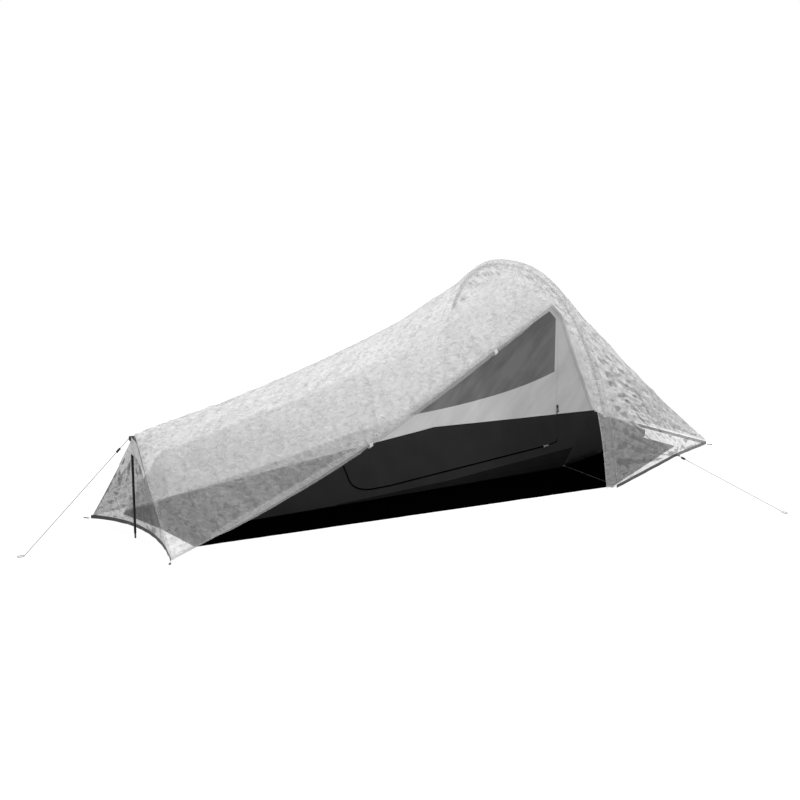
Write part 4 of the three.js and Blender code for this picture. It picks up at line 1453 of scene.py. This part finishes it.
@dataclass
class HoopAndStrut:
    """The pole's sleeve and the frame's poles, ferrules, tips and strut."""

    form: FlyForm
    finishes: Finishes
    report: Report
    depth: float = 0.018
    setback: float = 0.008
    sleeve_radius: float = 0.0084
    sleeve_end: float = 0.302
    sleeve_flatten: float = 0.9
    pucker: float = 0.0007
    pole_radius: float = 0.0043
    pole_end: float = 0.03
    pole_gap: float = 0.001
    sections: int = 5

    def build(self) -> None:
        """Make the sleeve and dress the rest."""
        start = float(self.form.angle_at(1.0, self.sleeve_end))
        angle = np.linspace(start, math.pi - start, 360)
        line = self.form.point(1.0, angle, self.depth) - np.array([self.setback, 0, 0])
        points = tube_points(line, self.sleeve_radius, 20, self.sleeve_flatten)
        puckers = self.pucker * creases(points, 0.03, 91)[..., None]
        points += puckers * (points - line[:, None]) / self.sleeve_radius
        points = np.concatenate([points, points[:, :1]], axis=1)
        piece = grid_sheet("hoop_sleeve_cloth", points)
        finish_piece(piece, TENT, self.finishes.film_sleeve, ["hoop_sleeve"])
        around = 2 * math.pi * self.sleeve_radius
        length = float(np.linalg.norm(np.diff(line, axis=0), axis=1).sum())
        self.report.cut(piece, (around, length), mesh_area(piece), "stretched", ["hoop_pole_3"])
        self.poles()
        dressing = {"hoop_ferrule_": self.finishes.ferrule, "hoop_tip_": self.finishes.plastic,
                    "hoop_shock_cord": self.finishes.elastic}
        for node, piece in sorted(FRAME["nodes"].items()):
            for start_of_name, material in dressing.items():
                if node.startswith(start_of_name):
                    put_material(piece, material)
                    self.report.done(piece)
        self.strut()

    def poles(self) -> None:
        """The pole's five round sections, end to end."""
        start = float(self.form.angle_at(1.0, self.pole_end))
        stops = np.linspace(start, math.pi - start, self.sections + 1)
        for k in range(self.sections):
            angle = np.linspace(stops[k] + self.pole_gap, stops[k + 1] - self.pole_gap, 40)
            line = self.form.point(1.0, angle, self.depth) - np.array([self.setback, 0, 0])
            piece = tube_piece(f"hoop_pole_{k + 1}_tube", line, self.pole_radius, 20)
            finish_piece(piece, TENT, self.finishes.pole, [f"hoop_pole_{k + 1}"])
            self.report.done(piece)

    def strut(self) -> None:
        """The foot strut's tube and its plastic foot."""
        low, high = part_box("foot_strut")
        middle = (low + high) / 2
        tube = hard_rod("foot_strut_tube", (high.x - low.x) / 2, high.z - low.z,
                        Matrix.Translation(middle), 0.0008)
        finish_piece(tube, TENT, self.finishes.strut, ["foot_strut"])
        low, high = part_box("foot_strut_tip")
        middle = (low + high) / 2
        foot = hard_rod("foot_strut_foot", (high.x - low.x) / 2, high.z - low.z,
                        Matrix.Translation(middle), 0.0012)
        finish_piece(foot, TENT, self.finishes.plastic, ["foot_strut_tip"])
        self.report.done(foot)


@dataclass
class RolledDoor:
    """The fly's door, rolled up and tied behind its own edge."""

    form: FlyForm
    finishes: Finishes
    report: Report
    first: float = 0.09
    last: float = 0.93
    depth: float = 0.016
    shift: float = 0.010
    radius: float = 0.0145
    count: int = 260
    sides: int = 30
    pinch: float = 0.0028
    pinch_reach: float = 0.03
    end_reach: float = 0.03
    layer_step: float = 0.0013
    lump: float = 0.0011

    def line(self) -> Array:
        """Points along the roll's middle."""
        u = np.linspace(self.first, self.last, self.count)
        return self.form.point(u, self.form.door_angle(u), self.depth) + np.array([0, self.shift, 0])

    def build(self) -> None:
        """Make the roll, with the steps of its wound layers and the pinch of each tie."""
        line = self.line()
        share = np.linspace(0, 1, self.count)
        radius = np.full(self.count, self.radius)
        ties = [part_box(f"fly_door_tie_{k}") for k in (1, 2)]
        for low, high in ties:
            middle = np.array((low + high) / 2)
            distance = np.linalg.norm(line - middle, axis=1)
            radius -= self.pinch * np.exp(-((distance / self.pinch_reach) ** 2))
        ends = [0.5 * np.exp(-((away / self.end_reach) ** 2)) for away in (share, 1 - share)]
        radius *= 1 - ends[0] - ends[1]
        points = tube_points(line, radius, self.sides)
        turn = np.linspace(0, 2 * math.pi, self.sides, endpoint=False)
        spiral = self.layer_step * ((turn * 2 / math.pi + 2 * share[:, None]) % 1.0 - 0.5)
        lumps = self.lump * creases(points, 0.05, 95, (3.0, 1.0, 2.0))
        points += (points - line[:, None]) / self.radius * (spiral + lumps)[..., None]
        piece = grid_sheet("fly_door_roll_cloth", points, wrap=True)
        cap_ends(piece)
        finish_piece(piece, TENT, self.finishes.film_double, ["fly_door_roll"])
        self.report.done(piece)
        for k in (1, 2):
            put_material(FRAME["nodes"][f"fly_door_tie_{k}"], self.finishes.inner)


# ---- The inner tent --------------------------------------------------------------------


ZIP_BEND = ((-1.034, 0.104), (-1.024, 0.047), (-0.93, 0.046))
ZIP_LOW = ((-0.85, 0.048), (-0.064, 0.106))
ZIP_SIDE = ((-0.013, 0.116), (0.082, 0.64))
HINGE_ENDS = ((0.045, 0.69), (-1.058, 0.186))
DOOR_OUTLINE = (HINGE_ENDS[1], ZIP_BEND[0], (-1.003, 0.061), ZIP_BEND[2], *ZIP_LOW, *ZIP_SIDE, *HINGE_ENDS)


@dataclass
class WallPlane:
    """The inner's flat near wall: its corner at the shoulder and its directions."""

    shoulder: Vector = field(default_factory=lambda: Vector((0.565, -0.2, 0.0)))
    yaw: float = math.radians(4.85)
    lean: float = math.radians(14.6)
    held: float = 0.014
    easing: float = 0.07

    @property
    def along(self) -> Vector:
        """Towards the head."""
        return Vector((math.cos(self.yaw), -math.sin(self.yaw), 0.0))

    @property
    def up(self) -> Vector:
        """Up the wall."""
        return Vector((math.sin(self.yaw) * math.sin(self.lean), math.cos(self.yaw) * math.sin(self.lean),
                       math.cos(self.lean)))

    @property
    def out(self) -> Vector:
        """Out of the wall."""
        return self.along.cross(self.up)

    def point(self, a: float, b: float, c: float = 0.0) -> Vector:
        """A place on the wall, a along it, b up it and c out of it."""
        return self.shoulder + self.along * a + self.up * b + self.out * c

    def slack(self, along: Array, height: Array) -> Array:
        """How freely the cloth hangs, held flat by the door's zip and hinge.

        Args:
            along: How far along the wall each place is, in metres.
            height: How far up the wall each place is.

        Returns:
            A share from 0 on the zip and the hinge to 1 well away from them.
        """
        spots = np.stack([along, height], axis=-1)
        nearest = np.full(len(spots), np.inf)
        for first, last in zip(DOOR_OUTLINE, DOOR_OUTLINE[1:]):
            side = np.array(last) - np.array(first)
            away = spots - np.array(first)
            share = np.clip(away @ side / (side @ side), 0, 1)
            nearest = np.minimum(nearest, np.linalg.norm(away - share[:, None] * side, axis=1))
        return np.clip((nearest - self.held) / self.easing, 0, 1) ** 1.5


def cut_copy(node: str, name: str, cuts: Sequence[tuple[Vector, float]]) -> bpy.types.Object:
    """Copy a node's mesh and cut it into strips.

    Args:
        node: The CAD node.
        name: The new piece's name.
        cuts: Each a direction and the distance between the cuts across it.

    Returns:
        The new piece.
    """
    mesh = FRAME["nodes"][node].data.copy()
    mesh.name = name
    shape = bmesh.new()
    shape.from_mesh(mesh)
    bmesh.ops.remove_doubles(shape, verts=shape.verts, dist=1e-5)
    bmesh.ops.dissolve_limit(shape, angle_limit=0.01, verts=shape.verts, edges=shape.edges)
    for way, step in cuts:
        reach = [vertex.co.dot(way) for vertex in shape.verts]
        count = int((max(reach) - min(reach)) / step)
        for k in range(1, count + 1):
            spot = way * (min(reach) + k * step)
            everything = [*shape.verts, *shape.edges, *shape.faces]
            bmesh.ops.bisect_plane(shape, geom=everything, plane_co=spot, plane_no=way, dist=1e-6)
    bmesh.ops.triangulate(shape, faces=[face for face in shape.faces if len(face.verts) > 4])
    shape.to_mesh(mesh)
    shape.free()
    mesh.materials.clear()
    for layer in [layer.name for layer in mesh.uv_layers]:
        mesh.uv_layers.remove(mesh.uv_layers[layer])
    return link(name, mesh)


def push_along(piece: bpy.types.Object, way: Vector, amount: Callable[[Array], Array]) -> None:
    """Move a piece's points along one direction by an amount that depends on their place.

    Args:
        piece: The piece.
        way: The direction.
        amount: Gives how far each place moves, in metres.
    """
    mesh = piece.data
    flat = np.zeros(len(mesh.vertices) * 3, dtype=np.float64)
    mesh.vertices.foreach_get("co", flat)
    places = flat.reshape(-1, 3)
    places += np.array(way)[None, :] * amount(places)[:, None]
    mesh.vertices.foreach_set("co", places.ravel())
    mesh.update()


@dataclass
class InnerTent:
    """The inner's walls, floor and door."""

    finishes: Finishes
    report: Report
    wall: WallPlane = field(default_factory=WallPlane)
    cell: float = 0.022
    shell_cell: float = 0.03
    ground_cell: float = 0.035
    ground_crease: float = 0.0012
    shell_slack: float = 0.003
    zip_corner: tuple[float, float] = (-0.06, 0.125)
    tub_top: float = 0.238
    fold_section: tuple = ((-0.007, 0.0028), (-0.002, 0.0036), (0.004, 0.0034), (0.011, 0.001))

    def wall_ripple(self, places: Array) -> Array:
        """How the near wall's cloth stands out, the same for every piece that shares the wall.

        Args:
            places: Places in metres, shaped (count, 3).

        Returns:
            One distance per place, in metres.
        """
        base = np.array(self.wall.shoulder)
        out = np.array(self.wall.out)
        on_wall = places - ((places - base) @ out)[:, None] * out
        height = (on_wall - base) @ np.array(self.wall.up)
        along = (on_wall - base) @ np.array(self.wall.along)
        slack = 0.0035 * ripple(on_wall, 0.34, 101, (2.0, 1.0, 1.0))
        slack += 0.0013 * ripple(on_wall, 0.09, 102, (1.0, 1.0, 2.4))
        return slack * np.clip(height / 0.05, 0, 1) * self.wall.slack(along, height)

    def near_piece(self, node: str, body: str, material: bpy.types.Material,
                   declared: bool = True) -> bpy.types.Object:
        """One piece of the near wall.

        Args:
            node: The node that it stands for.
            body: The body that it moves with.
            material: Its material.
            declared: Whether it is logged as a sheet of cloth.

        Returns:
            The new piece.
        """
        cuts = [(self.wall.along, self.cell), (self.wall.up, self.cell)]
        piece = cut_copy(node, f"{node}_cloth", cuts)
        flat_area = mesh_area(piece) / 2
        push_along(piece, self.wall.out, self.wall_ripple)
        finish_piece(piece, body, material, [node])
        low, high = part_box(node)
        if declared:
            self.report.sheet(piece, flat_area, (high - low).length, "hung", ["hoop_sleeve"])
        return piece

    def build(self) -> None:
        """Make the inner tent."""
        f = self.finishes
        self.near_piece("inner_near_lower", TENT, f.tub)
        # The upper near wall takes the inner fabric's brighter copy: painted light.
        self.near_piece("inner_near_upper", TENT, f.inner_lit)
        self.near_piece("inner_near_right", TENT, f.inner)
        self.near_piece("inner_floor_strip", TENT, f.floor)
        self.near_piece("inner_door_lower", INNER_DOOR, f.tub)
        self.near_piece("inner_door_band", INNER_DOOR, f.inner)
        self.near_piece("inner_door_mesh", INNER_DOOR, f.net)
        zip_piece = self.near_piece("inner_door_zip", TENT, f.zip, declared=False)
        self.cover_side_zip(zip_piece)
        self.fold_seams()
        sideways = Vector((0.0, 1.0, 0.0))
        lengthways = Vector((1.0, 0.0, 0.0))
        # The far upper wall and the head walls take the brighter copy too: painted light.
        for node, slot, material in (
            ("inner_far_lower", Slot.TUB, f.tub),
            ("inner_far_upper", Slot.INNER, f.inner_lit),
            ("inner_head_lower", Slot.TUB, f.tub),
            ("inner_foot_lower", Slot.TUB, f.tub),
            ("inner_head_near", Slot.INNER, f.inner_lit),
            ("inner_head_far", Slot.INNER, f.inner_lit),
        ):
            self.shell(node, material, sideways)
        # The foot wall takes the brighter copy as well: painted light.
        self.shell("inner_foot_wall", f.inner_lit, lengthways)
        self.flat_sheet("inner_floor", f.floor)
        # The groundsheet's near-black is partly painted shade of the vestibule.
        self.flat_sheet("groundsheet", f.ground)

    def on_wall(self, place: Vector) -> tuple[float, float]:
        """How far along the wall and up it a place is."""
        away = place - self.wall.shoulder
        return away.dot(self.wall.along), away.dot(self.wall.up)

    def cover_side_zip(self, piece: bpy.types.Object) -> None:
        """Give the zip's side and top runs the flap that covers them, dark low down and pale above.

        Args:
            piece: The zip's tape.
        """
        piece.data.materials.append(self.finishes.tub)
        piece.data.materials.append(self.finishes.inner)
        for face in piece.data.polygons:
            along, height = self.on_wall(face.center)
            if along > self.zip_corner[0] and height > self.zip_corner[1]:
                face.material_index = 2 if height > self.tub_top else 1

    def fold_seams(self) -> None:
        """Tape over the fold beside the hoop, where the near wall turns towards the head."""
        low, middle = (0.016, 0.02), (0.201, 0.225)
        high, top = (0.1, 0.64), (0.045, 0.705)
        self.fold_tape("inner_fold_low", [low, middle], self.finishes.tub)
        self.fold_tape("inner_fold_high", [middle, high, top], self.finishes.inner)

    def fold_tape(self, name: str, spots: Sequence[tuple[float, float]],
                  material: bpy.types.Material) -> None:
        """A narrow tape along spots on the wall, just outside it.

        Args:
            name: The piece's name.
            spots: Places on the wall, along it and up it.
            material: Its material.
        """
        stops = np.linspace(0, len(spots) - 1, 60)
        along = np.interp(stops, range(len(spots)), [spot[0] for spot in spots])
        height = np.interp(stops, range(len(spots)), [spot[1] for spot in spots])
        points = np.array([[list(self.wall.point(a + side, b, 0.0) + self.wall.out * up)
                            for side, up in self.fold_section] for a, b in zip(along, height)])
        shown = points + np.array(self.wall.out) * self.wall_ripple(points.reshape(-1, 3)).reshape(60, 4, 1)
        piece = grid_sheet(name, shown)
        finish_piece(piece, TENT, material)
        self.report.done(piece)

    def shell(self, node: str, material: bpy.types.Material, way: Vector) -> None:
        """A curved wall: the frame's shell, cut fine and slightly slack.

        Args:
            node: The node that it stands for.
            material: Its material.
            way: The direction that it stands out in.
        """
        cuts = [(Vector((1, 0, 0)), self.shell_cell), (Vector((0, 0, 1)), self.shell_cell)]
        piece = cut_copy(node, f"{node}_cloth", cuts)
        flat_area = mesh_area(piece) / 2
        push_along(piece, way, lambda places: self.shell_slack * ripple(places, 0.2, 111, (2.0, 1.0, 1.0))
                   * np.clip(places[:, 2] / 0.06, 0, 1))
        smooth(piece)
        finish_piece(piece, TENT, material, [node])
        low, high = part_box(node)
        self.report.sheet(piece, flat_area, (high - low).length, "hung", ["hoop_sleeve"])

    def flat_sheet(self, node: str, material: bpy.types.Material) -> None:
        """A sheet that lies on the ground, lifted here and there by small creases.

        Args:
            node: The node that it stands for.
            material: Its material.
        """
        cuts = [(Vector((1, 0, 0)), self.ground_cell), (Vector((0, 1, 0)), self.ground_cell)]
        piece = cut_copy(node, f"{node}_cloth", cuts)
        flat_area = mesh_area(piece) / 2
        push_along(piece, Vector((0, 0, 1)),
                   lambda places: self.ground_crease * np.clip(creases(places, 0.16, 121), 0, 1))
        finish_piece(piece, TENT, material, [node])
        low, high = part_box(node)
        self.report.cut(piece, (high.x - low.x, high.y - low.y), flat_area, "laid")


# ---- Guylines and fittings -------------------------------------------------------------


@dataclass(frozen=True)
class CordRun:
    """One cord: its node, its two ends and its thickness."""

    node: str
    start: tuple[float, float, float]
    end: tuple[float, float, float]
    diameter: float
    slot: Slot
    far_end: str
    loop: bool = True


CORDS = (
    CordRun("guyline_foot", (-1.350, 0.0, 0.373), (-1.745, 0.042, 0.0022), 0.0025, Slot.CORD, "knot"),
    CordRun("guyline_head_near", (0.874, -0.574, 0.084), (0.805, -1.180, 0.0022), 0.0025, Slot.CORD,
            "knot"),
    CordRun("shoulder_cord", (0.565, -0.216, 0.012), (0.534, -0.536, 0.010), 0.002, Slot.ELASTIC,
            "object", loop=False),
)


@dataclass
class Guylines:
    """The cords, their end loops and their fittings."""

    finishes: Finishes
    report: Report
    loop_radius: float = 0.013
    barrel: tuple[float, float, float] = (0.0036, 0.0190, 0.0008)
    collar: tuple[float, float, float] = (0.0049, 0.0034, 0.0009)
    collar_stops: tuple[float, float, float] = (-0.0078, 0.0, 0.0078)

    def build(self) -> None:
        """Make every cord."""
        for run in CORDS:
            self.cord(run)
        for node, body, run in (
            ("runner_foot", "foot_runner", CORDS[0]),
            ("runner_head_near", "near_runner", CORDS[1]),
        ):
            self.runner(node, body, run)

    def runner(self, node: str, body: str, run: CordRun) -> None:
        """A tensioner: a waisted barrel with a collar at each end.

        Args:
            node: The node that it stands for.
            body: The body that it moves with.
            run: The cord that it slides on.
        """
        low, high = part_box(node)
        middle = (low + high) / 2
        way = (Vector(run.end) - Vector(run.start)).normalized()
        turned = Matrix.Translation(middle) @ way.to_track_quat("Z", "Y").to_matrix().to_4x4()
        radius, length, bevel = self.barrel
        barrel = hard_rod(f"{node}_barrel", radius, length, turned, bevel)
        finish_piece(barrel, body, self.finishes.plastic, [node])
        radius, length, bevel = self.collar
        for k, shift in enumerate(self.collar_stops):
            collar = hard_rod(f"{node}_collar_{k + 1}", radius, length,
                              turned @ Matrix.Translation((0, 0, shift)), bevel)
            finish_piece(collar, body, self.finishes.plastic)
        self.report.done(barrel)

    def cord(self, run: CordRun) -> None:
        """One cord, straight between its ends, and the loop that goes round its peg.

        Args:
            run: The cord.
        """
        start, end = np.array(run.start), np.array(run.end)
        line = lerp(start, end, np.linspace(0, 1, 24)[:, None])
        curve = bpy.data.curves.new(f"{run.node}_line", "CURVE")
        curve.dimensions = "3D"
        curve.bevel_depth = run.diameter / 2
        curve.bevel_resolution = 3
        curve.use_fill_caps = True
        spline = curve.splines.new("POLY")
        spline.points.add(len(line) - 1)
        for point, place in zip(spline.points, line):
            point.co = (*place, 1.0)
        piece = bpy.data.objects.new(f"{run.node}_line", curve)
        bpy.context.scene.collection.objects.link(piece)
        material = self.finishes.cord if run.slot is Slot.CORD else self.finishes.elastic
        finish_piece(piece, TENT, material, [run.node])
        if run.loop:
            self.end_loop(run, end, end - start)
        length = float(np.linalg.norm(end - start))
        self.report.done(piece, f"cord {length:.3f} m")

    def end_loop(self, run: CordRun, end: Array, away: Array) -> bpy.types.Object:
        """The loop and knot at a guyline's pegged end, lying on the ground.

        Args:
            run: The cord.
            end: Where the loop starts.
            away: The way that the cord arrives.

        Returns:
            The new piece.
        """
        ahead = away * np.array([1, 1, 0])
        ahead /= np.linalg.norm(ahead)
        side = np.array([-ahead[1], ahead[0], 0])
        turn = np.linspace(0, 2 * math.pi, 40)
        reach = self.loop_radius * (1 - np.cos(turn))
        wide = 0.6 * self.loop_radius * np.sin(turn)
        ring = end + ahead * reach[:, None] + side * wide[:, None]
        ring[:, 2] = end[2] - 0.0004
        piece = tube_piece(f"{run.node}_loop", ring, run.diameter / 2, 8)
        bpy.ops.object.select_all(action="DESELECT")
        finish_piece(piece, TENT, self.finishes.cord)
        return piece


# Each part of a slider: its name, its size, its place along the zip and out of the wall, and its bevel.
SLIDER_PARTS = (
    ("body", (0.0135, 0.0078, 0.0032), (0, 0.0018), 0.0011),
    ("bridge", (0.008, 0.0022, 0.0022), (0.0015, 0.0041), 0.0009),
    ("pull", (0.023, 0.0055, 0.0014), (-0.0115, 0.0051), 0.0006),
    ("pull_end", (0.005, 0.0105, 0.0017), (-0.0215, 0.0051), 0.0007),
)


@dataclass
class ZipDetail:
    """The zip's coil and its two sliders."""

    finishes: Finishes
    report: Report
    wall: WallPlane = field(default_factory=WallPlane)
    lift: float = 0.0026

    def low_line(self) -> Array:
        """The zip's open run, along its bend and its straight low side.

        Returns:
            Places just outside the wall.
        """
        share = np.linspace(0, 1, 12)[:, None]
        bend = [np.array(spot) for spot in ZIP_BEND]
        curve = (1 - share) ** 2 * bend[0] + 2 * share * (1 - share) * bend[1] + share**2 * bend[2]
        start = np.array([HINGE_ENDS[1]])
        rest = np.array(ZIP_LOW)
        spots = np.concatenate([start, curve, rest])
        return np.array([list(self.wall.point(a, b, self.lift)) for a, b in spots])

    def build(self) -> None:
        """Make the coil and the sliders."""
        line = self.low_line()
        out = np.tile(np.array(self.wall.out), (len(line), 1))
        coil = dashes("inner_door_zip_coil", line, out, 0.0025, (0.0014, 0.0055, 0.0008))
        finish_piece(coil, TENT, self.finishes.zip)
        self.report.done(coil)
        low = (Vector(ZIP_LOW[0]), Vector(ZIP_LOW[1]), 1.0)
        side = (Vector(ZIP_SIDE[0]), Vector(ZIP_SIDE[1]), 0.28)
        self.slider("zip_slider_low", "slider_low", low, self.finishes.cord)
        self.slider("zip_slider_side", "slider_side", side, self.finishes.webbing)

    def slider(self, node: str, body: str, run: tuple[Vector, Vector, float],
               pull: bpy.types.Material) -> None:
        """A slider: its body, the bridge over it and the pull that hangs from the bridge.

        Args:
            node: The node that it stands for.
            body: The body that it moves with.
            run: The zip's straight stretch and the slider's share of the way along it.
            pull: The pull's material.
        """
        first, last, share = run
        spot = first.lerp(last, share)
        ahead = (last - first).normalized()
        along = self.wall.along * ahead.x + self.wall.up * ahead.y
        for part, size, (x, z), bevel in SLIDER_PARTS:
            place = self.wall.point(spot.x, spot.y, self.lift + z) + along * x
            piece = hard_box(f"{node}_{part}", size, frame_at(place, along, self.wall.out), bevel)
            hard = part in ("body", "bridge")
            finish_piece(piece, body,
                         self.finishes.plastic if hard else pull, [node] if part == "body" else [])
            if part == "body":
                self.report.done(piece)


@dataclass
class Tabs:
    """Webbing tabs and peg loops."""

    finishes: Finishes
    report: Report

    def build(self) -> None:
        """Make every tab."""
        for node in ("ridge_tab", "pull_out_tab_near", "pull_out_tab_far", "shoulder_loop"):
            low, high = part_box(node)
            size = high - low
            tab = hard_box(f"{node}_strap", size * 0.98, Matrix.Translation((low + high) / 2),
                           min(size) * 0.3)
            finish_piece(tab, TENT, self.finishes.webbing, [node])
            self.report.done(tab)
        turn = math.radians
        headings = {"foot_near": 235, "foot_far": 125, "head_near": -55, "head_far": 55}
        for place, heading in headings.items():
            self.peg_loop(f"peg_loop_{place}", turn(heading))

    def peg_loop(self, node: str, heading: float) -> None:
        """A loop of webbing: a flat tail and the eye for a peg.

        Args:
            node: The node that it stands for.
            heading: The way that it points, in radians.
        """
        low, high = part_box(node)
        middle = (low + high) / 2
        way = Vector((math.cos(heading), math.sin(heading), 0.0))
        tail = hard_box(f"{node}_tail", (0.012, 0.0085, 0.0015),
                        frame_at(middle - way * 0.0062, way, (0, 0, 1)), 0.0006)
        finish_piece(tail, TENT, self.finishes.webbing, [node])
        flat = Matrix.Diagonal((1.25, 0.85, 1.0, 1.0))
        eye = hard_ring(f"{node}_eye", 0.0040, 0.0011, frame_at(middle + way * 0.0052, way, (0, 0, 1)) @ flat)
        finish_piece(eye, TENT, self.finishes.webbing)
        self.report.done(tail)


# ---- Studio ----------------------------------------------------------------------------


@dataclass
class Studio:
    """A pale floor, soft light and the camera."""

    azimuth: float = math.radians(36.39)
    elevation: float = math.radians(12.565)
    distance: float = 6.0
    aim: Vector = field(default_factory=lambda: Vector((-0.178, -0.042, 0.367)))
    lens: float = 67.5
    bright_side: tuple[float, float, float] = (0.72, 0.62, 0.3)

    def build(self) -> None:
        """Set up the studio."""
        self.camera()
        self.floor()
        self.light("key_light", (2.5, -2.5, 4.5), 4.0, 250.0)
        self.light("top_light", (0.5, 1.5, 5.0), 5.0, 240.0)
        self.sky()
        bpy.context.scene.view_settings.view_transform = "Standard"

    def sky(self) -> None:
        """A white studio that is brighter behind the tent's head than in front of its foot."""
        world = bpy.data.worlds.new("studio")
        world.use_nodes = True
        nodes, links = world.node_tree.nodes, world.node_tree.links
        way = nodes.new("ShaderNodeTexCoord").outputs["Generated"]
        facing = nodes.new("ShaderNodeVectorMath")
        facing.operation = "DOT_PRODUCT"
        facing.inputs[1].default_value = self.bright_side
        links.new(way, facing.inputs[0])
        span = nodes.new("ShaderNodeMapRange")
        span.inputs["From Min"].default_value = -0.4
        span.inputs["From Max"].default_value = 0.55
        span.inputs["To Min"].default_value = 0.46
        span.inputs["To Max"].default_value = 1.0
        links.new(facing.outputs["Value"], span.inputs["Value"])
        back = nodes["Background"]
        back.inputs["Color"].default_value = (1, 1, 1, 1)
        links.new(span.outputs["Result"], back.inputs["Strength"])
        bpy.context.scene.world = world

    def camera(self) -> None:
        """Place the camera."""
        cosine = math.cos(self.elevation)
        ahead = Vector((math.sin(self.azimuth) * cosine, math.cos(self.azimuth) * cosine,
                        -math.sin(self.elevation)))
        data = bpy.data.cameras.new("camera")
        data.lens = self.lens
        data.sensor_width = 36.0
        data.clip_end = 100.0
        camera = bpy.data.objects.new("camera", data)
        camera.location = self.aim - ahead * self.distance
        camera.rotation_euler = ahead.to_track_quat("-Z", "Y").to_euler()
        bpy.context.scene.collection.objects.link(camera)
        bpy.context.scene.camera = camera

    def floor(self) -> None:
        """A wide pale floor."""
        bpy.ops.object.select_all(action="DESELECT")
        bpy.ops.mesh.primitive_plane_add(size=60.0, location=(0.0, 0.0, -0.001))
        floor = bpy.context.active_object
        floor.name = "studio_floor"
        graph = Graph("studio_floor")
        graph.put(Base_Color=(0.16, 0.16, 0.16, 1.0), Roughness=0.95, Specular_IOR_Level=0.0,
                  Emission_Color=(1.0, 1.0, 1.0, 1.0), Emission_Strength=0.9)
        put_material(floor, graph.material)

    def light(self, name: str, place: tuple[float, float, float], size: float, power: float) -> None:
        """A soft light that points at the tent.

        Args:
            name: The lamp's name.
            place: Where it stands.
            size: Its side in metres.
            power: Its power in watts.
        """
        data = bpy.data.lights.new(name, "AREA")
        data.energy = power
        data.size = size
        lamp = bpy.data.objects.new(name, data)
        lamp.location = place
        lamp.rotation_euler = (self.aim - Vector(place)).to_track_quat("-Z", "Y").to_euler()
        bpy.context.scene.collection.objects.link(lamp)


FRAME: dict = {}


def main() -> None:
    """Build the looks in order."""
    logging.basicConfig(level=logging.INFO, format="%(name)s %(message)s")
    FRAME.update(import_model())
    report = Report()
    Studio().build()
    finishes = Finishes()
    Guylines(finishes, report).build()
    form = FlyForm.from_frame()
    HoopAndStrut(form, finishes, report).build()
    FlySkin(form, finishes, report).build()
    RolledDoor(form, finishes, report).build()
    InnerTent(finishes, report).build()
    ZipDetail(finishes, report).build()
    Tabs(finishes, report).build()


if __name__ == "__main__":
    main()
